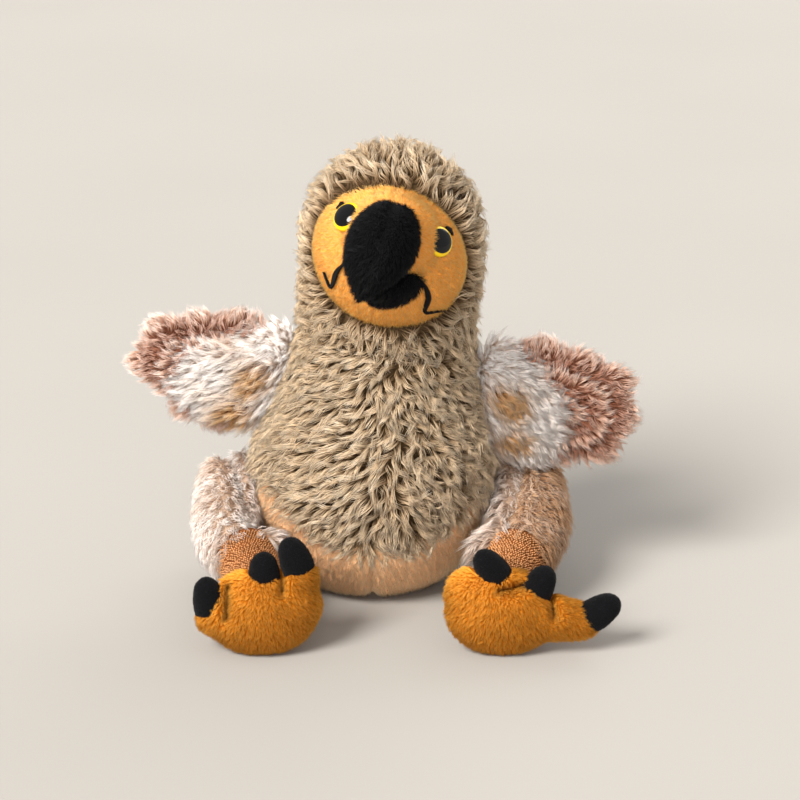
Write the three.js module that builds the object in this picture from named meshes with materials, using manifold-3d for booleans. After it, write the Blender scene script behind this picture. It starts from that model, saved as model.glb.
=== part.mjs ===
// A seated plush dodo: sewn panels round loose stuffing, with a head, wings, legs, feet and a tail
// that move at their seams. Millimetres, +Z up. The toy looks along -Y, so its own left is +X.
import * as THREE from "three";
import { mergeVertices } from "three/addons/utils/BufferGeometryUtils.js";
import Module from "manifold-3d";

const wasm = await Module();
wasm.setup();

// Clearances
const SEAM_GAP = 0.4; // between two panels that are sewn together
const FILL_GAP = 0.4; // between a panel and the stuffing behind it
const SWING_GAP = 0.3; // between faces that slide on each other at a joint

// Coat: body and head in one pear-shaped form
const CROWN_HEIGHT = 228;
const SEAT_RADIUS = 26;
const BELLY_RADIUS = 60;
const BELLY_DEPTH = 55;
const BELLY_HEIGHT = 54;
const NECK_RADIUS = 45;
const NECK_HEIGHT = 142;
const HEAD_RADIUS = 45.5;
const HEAD_DEPTH = 44;
const HEAD_HEIGHT = 180;
const HEAD_LEAN = 10; // how far the head stands to the toy's left of the seat
const COAT_THICKNESS = 8; // long pile and its backing
const BELLY_THICKNESS = 4; // short plush
const BELLY_SEAM_FRONT = 27; // height of the belly panel's upper edge at the middle
const BELLY_SEAM_SIDE = 55; // and at the sides
const BAG_HEIGHT = 20; // top of the pellet bag

// Neck: the head slides on a ball, and turns on a plug set in it
const NECK_PIVOT_HEIGHT = 108;
const NECK_BALL_RADIUS = 53;
const WAD_RADIUS = 22;

// Face, in its own frame: x to the viewer's right, y up, z out of the face
const FACE_DROP = 7; // its centre, below the head's
const FACE_YAW = -3;
const FACE_PITCH = 12;
const FACE_ROLL = 14;
const FACE_WIDTH = 72;
const FACE_HEIGHT = 70;
const FACE_SWELL_WIDTH = 78; // of the ellipsoid that the face is a cap of
const FACE_SWELL_HEIGHT = 76;
const FACE_SWELL_DEPTH = 38;
const FACE_SWELL_SETBACK = 14; // its centre, in front of the head's
const FACE_RIM = 24; // back edge of the face panel, in front of the head's centre
const FACE_THICKNESS = 4;
const MUZZLE_WIDTH = 32;
const MUZZLE_HEIGHT = 38;
const MUZZLE_DEPTH = 20;
const MUZZLE_RISE = 9;
const MUZZLE_SETBACK = 42;

// Beak
const BEAK_LENGTH = 28; // out of the muzzle
const BEAK_HOOK = 27; // how far its tip drops
const BEAK_BEND = 6; // how far its tip bends to the toy's right
const BEAK_WIDTH = 37;
const BEAK_HEIGHT = 40;
const BEAK_ROOT_WIDTH = 31;
const BEAK_HOOK_HEIGHT = 32; // through the beak where it turns down
const BEAK_TIP_WIDTH = 18;
const BEAK_THICKNESS = 3;
const BEAK_FILL_GAP = 1.5; // wide enough to follow the hook's tight bend
const LOWER_BEAK_WIDTH = 30;
const LOWER_BEAK_HEIGHT = 17;
const LOWER_BEAK_DEPTH = 24;
const LOWER_BEAK_DROP = 17;
const LOWER_BEAK_SETBACK = 42;

// Eyes and stitching
const EYE_RADIUS = 7.5;
const EYE_DOME = 4.5;
const EYE_RIM = 1;
const EYE_SPREAD = 22; // from the face's middle line
const EYE_RISE = 13.5;
const EYE_SHANK_RADIUS = 2.5;
const EYE_SHANK_LENGTH = 14;
const WASHER_RADIUS = 6.5;
const WASHER_THICKNESS = 1.8;
const WASHER_DEPTH = 8; // its outer face, behind the eye's flange
const STITCH_WIDTH = 2.2;
const STITCH_HEIGHT = 1.6; // above the face

// Wings, in their own frame: x out from the seam, y up along it, z through the wing
const WING_LENGTH = 74;
const WING_CHORD = 64;
const WING_THICKNESS = 24;
const WING_SKIN = 5;
const WING_ROOT = 4; // the sewn edge lies this far inside the hinge line
const WING_ROOT_RADIUS = 6; // of the rolled edge that turns on the coat
const WING_ROOT_LENGTH = 40;
const WING_ROOT_CLEAR = WING_ROOT_RADIUS + 3 * SWING_GAP; // hinge line, out from the coat
const WING_LOBES = 9; // scallops round the edge
const WING_LOBE_DEPTH = 0.07; // of the wing's reach
const WING_SIDES = {
  right: { height: 107, lift: -8, sweep: 16 },
  left: { height: 99, lift: -20, sweep: 3 },
};

// Legs
const HIP_SEAT = BELLY_RADIUS + SWING_GAP; // the thigh is flat here, beside the belly
const HIP_DISC_RADIUS = 42;
const HIP_DEPTH = 4;
const HIP_HEIGHT = 41;
// centre lines of thigh, cuff and ankle, from the middle of the toy
const LEG_SIDES = {
  right: { thigh: 70, width: 36, cuff: 60, ankle: 53 },
  left: { thigh: 77, width: 40, cuff: 70, ankle: 63 },
};
const THIGH_HEIGHT = 42;
const THIGH_FRONT_HEIGHT = 38;
const THIGH_BACK = 30; // its round end, behind the hip
const KNEE_FORWARD = 29; // from the hip
const KNEE_DROP = 8;
const THIGH_SKIN = 5;
const CUFF_FORWARD = 49;
const CUFF_HEIGHT = 28;
const CUFF_RADIUS = 16;
const CUFF_SHARE = 0.78; // of the leg's length, where thigh meets sleeve
const ANKLE_FORWARD = 70;
const ANKLE_HEIGHT = 24;
const ANKLE_RADIUS = 12;
const SLEEVE_THICKNESS = 2.5;
const BORE_LEAD = 0.05; // share of the leg's length by which the bore runs past the sleeve
const SLEEVE_FOLDS = 3;
const SLEEVE_FOLD_HEIGHT = 0.8;

// Feet, in their own frame: x to the viewer's right, y from heel to toes, z out of the sole
const PAD_WIDTH = 54;
const PAD_HEIGHT = 42;
const PAD_DEPTH = 26;
const PAD_FORWARD = 17; // centre of the pad, from the ankle
const PAD_DROP = 8.5; // and below it
const FOOT_LEAN = 14; // how far the sole leans back
const FOOT_SKIN = 3.5;
const TOE_RADIUS = 8.5;
const CLAW_BASE_RADIUS = 7.4;
const CLAW_TIP_RADIUS = 4;
const CLAW_LENGTH = 20; // from the middle of the toe's end
const CLAW_CURL = 3;
// Where each toe ends, from the middle of the pad, and the way its claw leans there
const TOES = {
  right: {
    inner: { x: 20, y: 17, lean: 20 },
    middle: { x: 2, y: 9, lean: 0 },
    outer: { x: -23, y: -3, lean: 9 },
  },
  left: {
    inner: { x: 0, y: 13, lean: 35 },
    middle: { x: 13, y: 4, lean: -27 },
    outer: { x: 39, y: -5, lean: -55 },
  },
};

// Tail
const TAIL_HEIGHT = BELLY_HEIGHT; // where the back stands out most
const TAIL_ROOT_RADIUS = 8;
const TAIL_LENGTH = 30;
const TAIL_RISE = 16;
const TAIL_RADIUS = 11;
const TAIL_THICKNESS = 17;

// Facets
const COAT_SIDES = 20;
const WAD_SIDES = 36;
const FILL_SIDES = 10;
const LIMB_SIDES = 12;
const HOLLOW_SIDES = 8; // inside faces of the limbs, and their stuffing
const HOLLOW_STEPS = 4;
const FACE_SIDES = 14;
const LEG_FACETS = 10;
const TOE_SIDES = 8;
const WING_FACETS = 27; // three to a scallop
const WING_STEPS = 6;
const WING_HOLLOW_STEPS = 4;
const REACH = 400; // larger than the toy, for half spaces

// Colours
const GREIGE = 0xb39f7e;
const PEACH = 0xe1b48c;
const FACE_ORANGE = 0xe8a050;
const FOOT_ORANGE = 0xe19637;
const BLACK = 0x121214;
const EYE_YELLOW = 0xf5cd00;
const WING_WHITE = 0xf0e8e1;
const WING_BROWN = 0xa9765a;
const MOTTLED = 0xcdbcb0;
const TERRY = 0xbe7846;
const FIBRE = 0xf4f2ec;

const radians = THREE.MathUtils.degToRad;

// A smooth step from a to b as t goes from 0 to 1
function ease(a, b, t) {
  const share = THREE.MathUtils.clamp(t, 0, 1);
  return a + ((b - a) * (1 - Math.cos(Math.PI * share))) / 2;
}

// A closed geometry as a solid that can be joined and cut
function solidOf(geometry) {
  const bare = geometry.index ? geometry.toNonIndexed() : geometry.clone();
  for (const name of Object.keys(bare.attributes)) {
    if (name !== "position") {
      bare.deleteAttribute(name);
    }
  }
  const merged = mergeVertices(bare, 1e-4);
  const corners = Array.from(merged.index.array);
  const triVerts = [];
  for (let i = 0; i < corners.length; i += 3) {
    const [a, b, c] = corners.slice(i, i + 3);
    if (a !== b && b !== c && c !== a) {
      triVerts.push(a, b, c);
    }
  }
  const vertProperties = new Float32Array(merged.attributes.position.array);
  const mesh = new wasm.Mesh({ numProp: 3, vertProperties, triVerts: new Uint32Array(triVerts) });
  return new wasm.Manifold(mesh);
}

// A solid as a geometry
function geometryOf(solid) {
  const mesh = solid.getMesh();
  const points = [];
  for (let i = 0; i < mesh.vertProperties.length; i += mesh.numProp) {
    points.push(...mesh.vertProperties.slice(i, i + 3));
  }
  const geometry = new THREE.BufferGeometry();
  geometry.setAttribute("position", new THREE.Float32BufferAttribute(points, 3));
  geometry.setIndex(Array.from(mesh.triVerts));
  geometry.computeVertexNormals();
  return geometry;
}

// A skin over rings of points, closed with a point at the middle of the first and last ring
function loft(rings) {
  const count = rings[0].length;
  const points = rings.flat();
  const middles = [rings[0], rings[rings.length - 1]].map((ring) => {
    const sum = ring.reduce((total, point) => total.add(point), new THREE.Vector3());
    return sum.divideScalar(count);
  });
  const first = points.length;
  const last = first + 1;
  const faces = [];
  for (let i = 0; i < count; i += 1) {
    const next = (i + 1) % count;
    for (let ring = 0; ring + 1 < rings.length; ring += 1) {
      const low = ring * count;
      const high = low + count;
      faces.push(low + i, low + next, high + next, low + i, high + next, high + i);
    }
    const top = (rings.length - 1) * count;
    faces.push(first, next, i, last, top + i, top + next);
  }
  const geometry = new THREE.BufferGeometry().setFromPoints([...points, ...middles]);
  geometry.setIndex(faces);
  return geometry;
}

// A loft turned the right way round, whichever way its rings run
function loftSolid(rings) {
  const solid = solidOf(loft(rings));
  return solid.volume() > 0 ? solid : solidOf(loft(rings.toReversed()));
}

function boxBetween(low, high) {
  const size = high.clone().sub(low);
  const box = new THREE.BoxGeometry(size.x, size.y, size.z);
  box.translate(...low.clone().add(high).divideScalar(2).toArray());
  return solidOf(box);
}

// Everything above a height
function above(height) {
  const low = new THREE.Vector3(-REACH, -REACH, height);
  return boxBetween(low, new THREE.Vector3(REACH, REACH, REACH));
}

// Everything in front of a depth, in a piece's own frame
function ahead(depth, frame) {
  return placed(above(depth), frame);
}

function placed(solid, frame) {
  return solidOf(geometryOf(solid).applyMatrix4(frame));
}

function ellipsoid(centre, width, height, depth, sides, frame) {
  const ball = new THREE.SphereGeometry(1, sides, Math.round(sides / 2));
  ball.scale(width / 2, height / 2, depth);
  ball.translate(centre.x, centre.y, centre.z);
  return solidOf(frame ? ball.applyMatrix4(frame) : ball);
}

function ball(centre, radius, sides) {
  return ellipsoid(centre, 2 * radius, 2 * radius, radius, sides);
}

// A ball whose facets run round an x axis, the axis of its hinge
function hingeBall(centre, radius, sides) {
  const round = new THREE.SphereGeometry(radius, sides, sides / 2);
  round.rotateZ(Math.PI / 2);
  return solidOf(round.translate(centre.x, centre.y, centre.z));
}

// The hollow that such a ball turns in, with room for its corners
function hingeSocket(centre, radius, sides) {
  return hingeBall(centre, (radius + SWING_GAP) / Math.cos(Math.PI / sides), sides);
}

// A round bar along local z, from depth a to depth b
function bar(width, height, a, b, sides, frame) {
  const rod = new THREE.CylinderGeometry(1, 1, b - a, sides);
  rod.rotateX(Math.PI / 2);
  rod.scale(width / 2, height / 2, 1);
  rod.translate(0, 0, (a + b) / 2);
  return solidOf(rod.applyMatrix4(frame));
}

// A frame with its z axis along a direction and its y axis as near up as it goes
function frameAlong(origin, direction, up) {
  const z = direction.clone().normalize();
  const x = up.clone().cross(z).normalize();
  const y = z.clone().cross(x);
  return new THREE.Matrix4().makeBasis(x, y, z).setPosition(origin);
}

// A value that runs smoothly through evenly spaced keys as t goes from 0 to 1
function keyed(keys, t) {
  const curve = new THREE.SplineCurve(keys.map((key, i) => new THREE.Vector2(i, key)));
  return curve.getPoint(t).y;
}

// A soft tube along a curve. Its width lies along side, and its ends are round where it says so.
function limb({
  path, widths, heights, side, from, to, steps, sides, inset,
  roundStart = 0, roundEnd = 0, folds = 0, foldHeight = 0,
}) {
  const length = path.getLength();
  const start = roundStart ? Math.max(0, from + inset / length) : from;
  const end = roundEnd ? Math.min(1, to - inset / length) : to;
  const rings = [];
  for (let step = 0; step <= steps; step += 1) {
    // steps bunch up at the ends, where the form turns in
    const share = (1 - Math.cos((Math.PI * step) / steps)) / 2;
    const t = THREE.MathUtils.lerp(start, end, share);
    const nearStart = roundStart ? Math.min(1, (t - start) / roundStart) : 1;
    const nearEnd = roundEnd ? Math.min(1, (end - t) / roundEnd) : 1;
    const turn = Math.sqrt(1 - (1 - nearStart) ** 2) * Math.sqrt(1 - (1 - nearEnd) ** 2);
    const fold = foldHeight * Math.sin((Math.PI * folds * (t - start)) / (end - start)) ** 2;
    const width = Math.max(0.3, (keyed(widths, t) / 2 - inset) * turn + fold);
    const height = Math.max(0.3, (keyed(heights, t) / 2 - inset) * turn + fold);
    const centre = path.getPointAt(t);
    const along = path.getTangentAt(t);
    const rise = along.clone().cross(side).normalize();
    const across = rise.clone().cross(along).normalize();
    const ring = [];
    for (let i = 0; i < sides; i += 1) {
      const angle = (2 * Math.PI * i) / sides;
      const point = centre.clone().addScaledVector(across, width * Math.cos(angle));
      ring.push(point.addScaledVector(rise, height * Math.sin(angle)));
    }
    rings.push(ring);
  }
  return loftSolid(rings);
}

const nodes = [];

function node(name, solid, color, roughness = 0.95) {
  const material = new THREE.MeshStandardMaterial({ color, roughness, metalness: 0 });
  const mesh = new THREE.Mesh(geometryOf(solid), material);
  mesh.name = name;
  nodes.push(mesh);
}

// Coat. Half width at a height: a quarter ellipse up to the belly, a smooth draw-in to the neck,
// a smooth swell to the head, and a half ellipse to the crown.
function coatOutline() {
  const points = [new THREE.Vector2(0, 0)];
  const bellySteps = 4;
  for (let i = 0; i <= bellySteps; i += 1) {
    const angle = (Math.PI / 2) * (i / bellySteps);
    const radius = SEAT_RADIUS + (BELLY_RADIUS - SEAT_RADIUS) * Math.sin(angle);
    points.push(new THREE.Vector2(radius, BELLY_HEIGHT * (1 - Math.cos(angle))));
  }
  const trunkSteps = 4;
  for (let i = 1; i <= trunkSteps; i += 1) {
    const share = i / trunkSteps;
    const height = THREE.MathUtils.lerp(BELLY_HEIGHT, NECK_HEIGHT, share);
    points.push(new THREE.Vector2(ease(BELLY_RADIUS, NECK_RADIUS, share), height));
  }
  const crownSteps = 5;
  for (let i = 0; i <= crownSteps; i += 1) {
    const angle = (Math.PI / 2) * (i / crownSteps);
    const height = HEAD_HEIGHT + (CROWN_HEIGHT - HEAD_HEIGHT) * Math.sin(angle);
    points.push(new THREE.Vector2(HEAD_RADIUS * Math.cos(angle), height));
  }
  return points;
}

// The share of the way from belly to head at a height
function rise(height) {
  return (height - BELLY_HEIGHT) / (HEAD_HEIGHT - BELLY_HEIGHT);
}

function coatLean(height) {
  return ease(0, HEAD_LEAN, rise(height));
}

function coatDepthShare(height) {
  return ease(BELLY_DEPTH / BELLY_RADIUS, HEAD_DEPTH / HEAD_RADIUS, rise(height));
}

function coatRadius(height) {
  const share = (height - BELLY_HEIGHT) / (NECK_HEIGHT - BELLY_HEIGHT);
  return ease(BELLY_RADIUS, NECK_RADIUS, share);
}

// The coat's form, drawn in by inset all round
function coatForm(inset, sides) {
  const outline = coatOutline();
  const drawn = outline.map((point, i) => {
    if (i === 0 || i === outline.length - 1) {
      return new THREE.Vector2(0, i === 0 ? inset : point.y - inset);
    }
    const along = outline[i + 1].clone().sub(outline[i - 1]).normalize();
    const out = point.y === 0 ? new THREE.Vector2(0, -1) : new THREE.Vector2(along.y, -along.x);
    return point.clone().addScaledVector(out, -inset);
  });
  const turned = new THREE.LatheGeometry(drawn, sides);
  turned.rotateX(Math.PI / 2);
  const place = turned.attributes.position;
  for (let i = 0; i < place.count; i += 1) {
    const height = place.getZ(i);
    place.setX(i, place.getX(i) + coatLean(height));
    place.setY(i, place.getY(i) * coatDepthShare(height));
  }
  return solidOf(turned);
}

const neckPivot = new THREE.Vector3(coatLean(NECK_PIVOT_HEIGHT), 0, NECK_PIVOT_HEIGHT);
// the head turns two ways on the neck, so its hollow has room for the corners both ways
const neckRoom = (NECK_BALL_RADIUS + SWING_GAP) / Math.cos(Math.PI / COAT_SIDES) ** 2;
const neckSocket = ball(neckPivot, neckRoom, COAT_SIDES);
const neckBall = ball(neckPivot, NECK_BALL_RADIUS, COAT_SIDES);
const upperHalf = above(NECK_PIVOT_HEIGHT);

function headPart(solid) {
  return solid.intersect(upperHalf).subtract(neckSocket);
}

function bodyPart(solid) {
  return solid.subtract(upperHalf.subtract(neckBall));
}

// One quarter or half of the toy, cut at the seam that leans with the head
const seamTurn = new THREE.Matrix4().makeRotationY(Math.atan2(HEAD_LEAN, HEAD_HEIGHT));

function quarter(sideX, sideY) {
  const span = (side) => (side > 0 ? [SEAM_GAP / 2, REACH] : [-REACH, -SEAM_GAP / 2]);
  const [x0, x1] = span(sideX);
  const [y0, y1] = sideY ? span(sideY) : [-REACH, REACH];
  const low = new THREE.Vector3(x0, y0, -REACH);
  return placed(boxBetween(low, new THREE.Vector3(x1, y1, REACH)), seamTurn);
}

// Everything below the belly panel's upper edge, a parabola across the toy
function belowBellySeam(drop) {
  const side = BELLY_SEAM_SIDE - drop;
  const control = 2 * BELLY_SEAM_FRONT - BELLY_SEAM_SIDE - drop;
  const reach = 1.2 * BELLY_RADIUS;
  const outline = new THREE.Shape();
  outline.moveTo(-BELLY_RADIUS, side);
  outline.quadraticCurveTo(0, control, BELLY_RADIUS, side);
  outline.lineTo(reach, side);
  outline.lineTo(reach, -BELLY_RADIUS);
  outline.lineTo(-reach, -BELLY_RADIUS);
  outline.lineTo(-reach, side);
  const settings = { depth: 2 * REACH, bevelEnabled: false, curveSegments: 10 };
  const cut = new THREE.ExtrudeGeometry(outline, settings);
  cut.rotateX(Math.PI / 2);
  cut.translate(0, REACH, 0);
  return solidOf(cut);
}

const SIDES = { left: 1, right: -1 };
const coatOuter = coatForm(0, COAT_SIDES);
const coatInner = coatForm(COAT_THICKNESS, FILL_SIDES);
const coatFill = coatForm(COAT_THICKNESS + FILL_GAP, FILL_SIDES);
const upright = new THREE.Matrix4();

function addBody() {
  const coat = bodyPart(coatOuter.subtract(coatInner)).subtract(belowBellySeam(0));
  const bellySkin = coatOuter.subtract(coatForm(BELLY_THICKNESS, FILL_SIDES));
  const bellyShell = bellySkin.intersect(belowBellySeam(SEAM_GAP));
  const seatWidth = 2 * SEAT_RADIUS;
  const seatHole = bar(seatWidth, seatWidth, -1, 2 * BELLY_THICKNESS, COAT_SIDES, upright);
  const seatTrim = seatWidth - 2 * SEAM_GAP;
  const seat = bar(seatTrim, seatTrim, -1, 2 * BELLY_THICKNESS, COAT_SIDES, upright);
  for (const [name, side] of Object.entries(SIDES)) {
    node(`coat_front_${name}`, coat.intersect(quarter(side, -1)), GREIGE);
    node(`coat_back_${name}`, coat.intersect(quarter(side, 1)), GREIGE);
    node(`belly_${name}`, bellyShell.subtract(seatHole).intersect(quarter(side, 0)), PEACH);
  }
  node("seat_base", bellyShell.intersect(seat), PEACH);
  const bag = coatForm(BELLY_THICKNESS + FILL_GAP, FILL_SIDES).subtract(above(BAG_HEIGHT));
  node("pellet_bag", bag, FIBRE);
  const wadFrame = new THREE.Matrix4().setPosition(neckPivot);
  const recessWidth = 2 * (WAD_RADIUS + FILL_GAP);
  const recess = bar(recessWidth, recessWidth, -FILL_GAP, REACH, COAT_SIDES, wadFrame);
  const fill = bodyPart(coatFill).intersect(above(BAG_HEIGHT + FILL_GAP)).subtract(recess);
  node("body_stuffing", fill, FIBRE);
  const wadTop = hingeBall(neckPivot, NECK_BALL_RADIUS, WAD_SIDES);
  const wad = bar(2 * WAD_RADIUS, 2 * WAD_RADIUS, 0, REACH, COAT_SIDES, wadFrame).intersect(wadTop);
  node("neck_wad", wad, FIBRE);
}

// Face frame: its z axis looks out of the face, and the roll drops the viewer's right side
function makeFaceFrame() {
  const yaw = radians(FACE_YAW);
  const pitch = radians(FACE_PITCH);
  const out = new THREE.Vector3(
    Math.sin(yaw) * Math.cos(pitch), -Math.cos(yaw) * Math.cos(pitch), Math.sin(pitch));
  const centre = new THREE.Vector3(HEAD_LEAN, 0, HEAD_HEIGHT - FACE_DROP);
  const level = frameAlong(centre, out, new THREE.Vector3(0, 0, 1));
  return level.multiply(new THREE.Matrix4().makeRotationZ(-radians(FACE_ROLL)));
}

const faceFrame = makeFaceFrame();

// The face's form: a broad cap with a muzzle on it, grown or drawn in
function faceForm(grow, capSides = FACE_SIDES, muzzleSides = LEG_FACETS) {
  const cap = ellipsoid(
    new THREE.Vector3(0, 0, FACE_SWELL_SETBACK), FACE_SWELL_WIDTH + 2 * grow,
    FACE_SWELL_HEIGHT + 2 * grow, FACE_SWELL_DEPTH + grow, capSides, faceFrame);
  const muzzle = ellipsoid(
    new THREE.Vector3(0, MUZZLE_RISE, MUZZLE_SETBACK), MUZZLE_WIDTH + 2 * grow,
    MUZZLE_HEIGHT + 2 * grow, MUZZLE_DEPTH + grow, muzzleSides, faceFrame);
  return cap.add(muzzle);
}

// Where the cap of the face stands at a place across it, and the direction out of it there
function onFace(x, y) {
  const half = [FACE_SWELL_WIDTH / 2, FACE_SWELL_HEIGHT / 2, FACE_SWELL_DEPTH];
  const lift = half[2] * Math.sqrt(1 - (x / half[0]) ** 2 - (y / half[1]) ** 2);
  const out = new THREE.Vector3(x / half[0] ** 2, y / half[1] ** 2, lift / half[2] ** 2);
  return { point: new THREE.Vector3(x, y, FACE_SWELL_SETBACK + lift), out: out.normalize() };
}

function eyeFrame(side) {
  const { point, out } = onFace(side * EYE_SPREAD, EYE_RISE);
  const seat = point.addScaledVector(out, SEAM_GAP);
  return faceFrame.clone().multiply(frameAlong(seat, out, new THREE.Vector3(0, 1, 0)));
}

// A glossy cap on a shank, turned from its outline
function eyeSolid(frame) {
  const domeSteps = 4;
  const outline = [
    new THREE.Vector2(0, -EYE_SHANK_LENGTH),
    new THREE.Vector2(EYE_SHANK_RADIUS, -EYE_SHANK_LENGTH),
    new THREE.Vector2(EYE_SHANK_RADIUS, 0),
    new THREE.Vector2(EYE_RADIUS, 0),
  ];
  for (let i = 0; i <= domeSteps; i += 1) {
    const angle = (Math.PI / 2) * (i / domeSteps);
    const dome = EYE_RIM + (EYE_DOME - EYE_RIM) * Math.sin(angle);
    outline.push(new THREE.Vector2(EYE_RADIUS * Math.cos(angle), dome));
  }
  const turned = new THREE.LatheGeometry(outline, LIMB_SIDES);
  turned.rotateX(Math.PI / 2);
  return solidOf(turned.applyMatrix4(frame));
}

// A flat raised line of stitches that lies on the face along a few places
function stitchLine(places, side) {
  const points = places.map(([x, y]) => onFace(side * x, y).point);
  const path = new THREE.CatmullRomCurve3(points, false, "centripetal");
  const line = limb({
    path, widths: [STITCH_WIDTH, STITCH_WIDTH], heights: [2 * STITCH_HEIGHT, 2 * STITCH_HEIGHT],
    side: new THREE.Vector3(side, 0, 0), from: 0, to: 1, steps: 6, sides: 4, inset: 0,
  });
  return placed(line, faceFrame).subtract(faceForm(SEAM_GAP));
}

const MOUTH_PLACES = [[20.5, -9], [23, -15], [23.5, -21.5], [29.5, -18]];
const BROW_PLACES = [[26, 19], [28.5, 16.5], [29.5, 14]];

function addHead() {
  const opening = bar(FACE_WIDTH, FACE_HEIGHT, 0, REACH, COAT_SIDES, faceFrame);
  const faceTrim = 2 * SEAM_GAP;
  const facePlug = bar(FACE_WIDTH - faceTrim, FACE_HEIGHT - faceTrim, FACE_RIM, REACH, COAT_SIDES, faceFrame);
  const hood = headPart(coatOuter.subtract(coatInner)).subtract(opening);
  const faceInner = faceForm(-FACE_THICKNESS, LIMB_SIDES, HOLLOW_SIDES);
  let face = headPart(faceForm(0).subtract(faceInner).intersect(facePlug));
  const faceRoom = bar(FACE_WIDTH, FACE_HEIGHT, FACE_RIM - FILL_GAP, REACH, COAT_SIDES, faceFrame);
  const faceFillForm = faceForm(-FACE_THICKNESS - FILL_GAP, LIMB_SIDES, HOLLOW_SIDES);
  const faceFill = faceFillForm.intersect(ahead(FACE_RIM - COAT_THICKNESS, faceFrame));
  let fill = headPart(coatFill.subtract(faceRoom).add(faceFill));
  const washerHole = 2 * (EYE_SHANK_RADIUS + FILL_GAP);
  const holeReach = 2 * EYE_SHANK_LENGTH;
  for (const [name, side] of Object.entries(SIDES)) {
    const frame = eyeFrame(side);
    node(`eye_${name}`, eyeSolid(frame), EYE_YELLOW, 0.15);
    const hole = bar(washerHole, washerHole, -holeReach, EYE_RIM, HOLLOW_SIDES, frame);
    face = face.subtract(hole);
    const washerBack = -WASHER_DEPTH - WASHER_THICKNESS;
    const washer = bar(2 * WASHER_RADIUS, 2 * WASHER_RADIUS, washerBack, -WASHER_DEPTH, FILL_SIDES, frame);
    node(`eye_washer_${name}`, washer.subtract(hole), FIBRE, 0.5);
    const pocketWidth = 2 * (WASHER_RADIUS + 2 * FILL_GAP);
    const pocketBack = -EYE_SHANK_LENGTH - FILL_GAP;
    fill = fill.subtract(bar(pocketWidth, pocketWidth, pocketBack, EYE_RIM, LIMB_SIDES, frame));
    node(`mouth_stitch_${name}`, stitchLine(MOUTH_PLACES, side), BLACK);
    node(`brow_stitch_${name}`, stitchLine(BROW_PLACES, side), BLACK);
    node(`hood_${name}`, hood.intersect(quarter(side, 0)), GREIGE);
  }
  for (const [name, side] of Object.entries(SIDES)) {
    const low = new THREE.Vector3(side > 0 ? SEAM_GAP / 2 : -REACH, -REACH, -REACH);
    const high = new THREE.Vector3(side > 0 ? REACH : -SEAM_GAP / 2, REACH, REACH);
    const half = placed(boxBetween(low, high), faceFrame);
    node(`face_${name}`, face.intersect(half), FACE_ORANGE);
  }
  node("head_stuffing", fill, FIBRE);
}

function addBeak() {
  const root = new THREE.Vector3(0, MUZZLE_RISE, MUZZLE_SETBACK + MUZZLE_DEPTH / 2);
  const tip = new THREE.Vector3(-BEAK_BEND, MUZZLE_RISE - BEAK_HOOK, root.z + BEAK_LENGTH);
  const path = new THREE.QuadraticBezierCurve3(
    root, new THREE.Vector3(-BEAK_BEND / 2, MUZZLE_RISE + BEAK_HOOK / 6, tip.z), tip);
  const shape = {
    path, widths: [BEAK_ROOT_WIDTH, BEAK_WIDTH, BEAK_WIDTH, BEAK_TIP_WIDTH],
    heights: [BEAK_HEIGHT, BEAK_HEIGHT, BEAK_HOOK_HEIGHT, BEAK_TIP_WIDTH],
    side: new THREE.Vector3(1, 0, 0), from: 0, to: 1, steps: 6, sides: LIMB_SIDES, roundEnd: 0.35,
  };
  const seat = faceForm(SEAM_GAP);
  const upper = placed(limb({ ...shape, inset: 0 }), faceFrame).subtract(seat);
  const inside = { ...shape, steps: HOLLOW_STEPS, sides: HOLLOW_SIDES };
  const hollow = placed(limb({ ...inside, inset: BEAK_THICKNESS }), faceFrame);
  const lower = ellipsoid(
    new THREE.Vector3(0, -LOWER_BEAK_DROP, LOWER_BEAK_SETBACK), LOWER_BEAK_WIDTH,
    LOWER_BEAK_HEIGHT, LOWER_BEAK_DEPTH, LIMB_SIDES, faceFrame);
  const upperSeat = placed(limb({ ...shape, inset: -SEAM_GAP }), faceFrame);
  node("beak_upper", upper.subtract(hollow), BLACK);
  const fill = placed(limb({ ...inside, inset: BEAK_THICKNESS + BEAK_FILL_GAP }), faceFrame);
  node("beak_stuffing", fill.subtract(seat), FIBRE);
  node("beak_lower", lower.subtract(seat).subtract(upperSeat).intersect(ahead(FACE_RIM, faceFrame)), BLACK);
}

// Wing outline, from its centre: a squarish oval whose edge is scalloped away from the seam
function wingRing(angle, inset) {
  const half = [(WING_LENGTH + WING_ROOT) / 2, WING_CHORD / 2];
  const cos = Math.cos(angle);
  const sin = Math.sin(angle);
  const power = 2.6;
  const reach = (Math.abs(cos / half[0]) ** power + Math.abs(sin / half[1]) ** power) ** (-1 / power);
  const away = THREE.MathUtils.smoothstep(cos, -0.75, -0.35);
  const notch = WING_LOBE_DEPTH * away * (1 - Math.abs(Math.cos((WING_LOBES * angle) / 2)));
  const radius = reach * (1 - notch) - inset;
  return new THREE.Vector2(radius * cos + half[0] - WING_ROOT, radius * sin);
}

function wingForm(inset, sides, steps) {
  const rings = [];
  for (let step = 0; step <= steps; step += 1) {
    const angle = Math.PI * (step / steps - 0.5);
    const spread = Math.max(0.03, Math.cos(angle));
    const height = (WING_THICKNESS / 2 - inset) * Math.sin(angle);
    const middle = WING_LENGTH / 2 - WING_ROOT / 2;
    const ring = [];
    for (let i = 0; i < sides; i += 1) {
      const edge = wingRing((2 * Math.PI * i) / sides, inset);
      ring.push(new THREE.Vector3(middle + (edge.x - middle) * spread, edge.y * spread, height));
    }
    rings.push(ring);
  }
  return loftSolid(rings);
}

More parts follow.
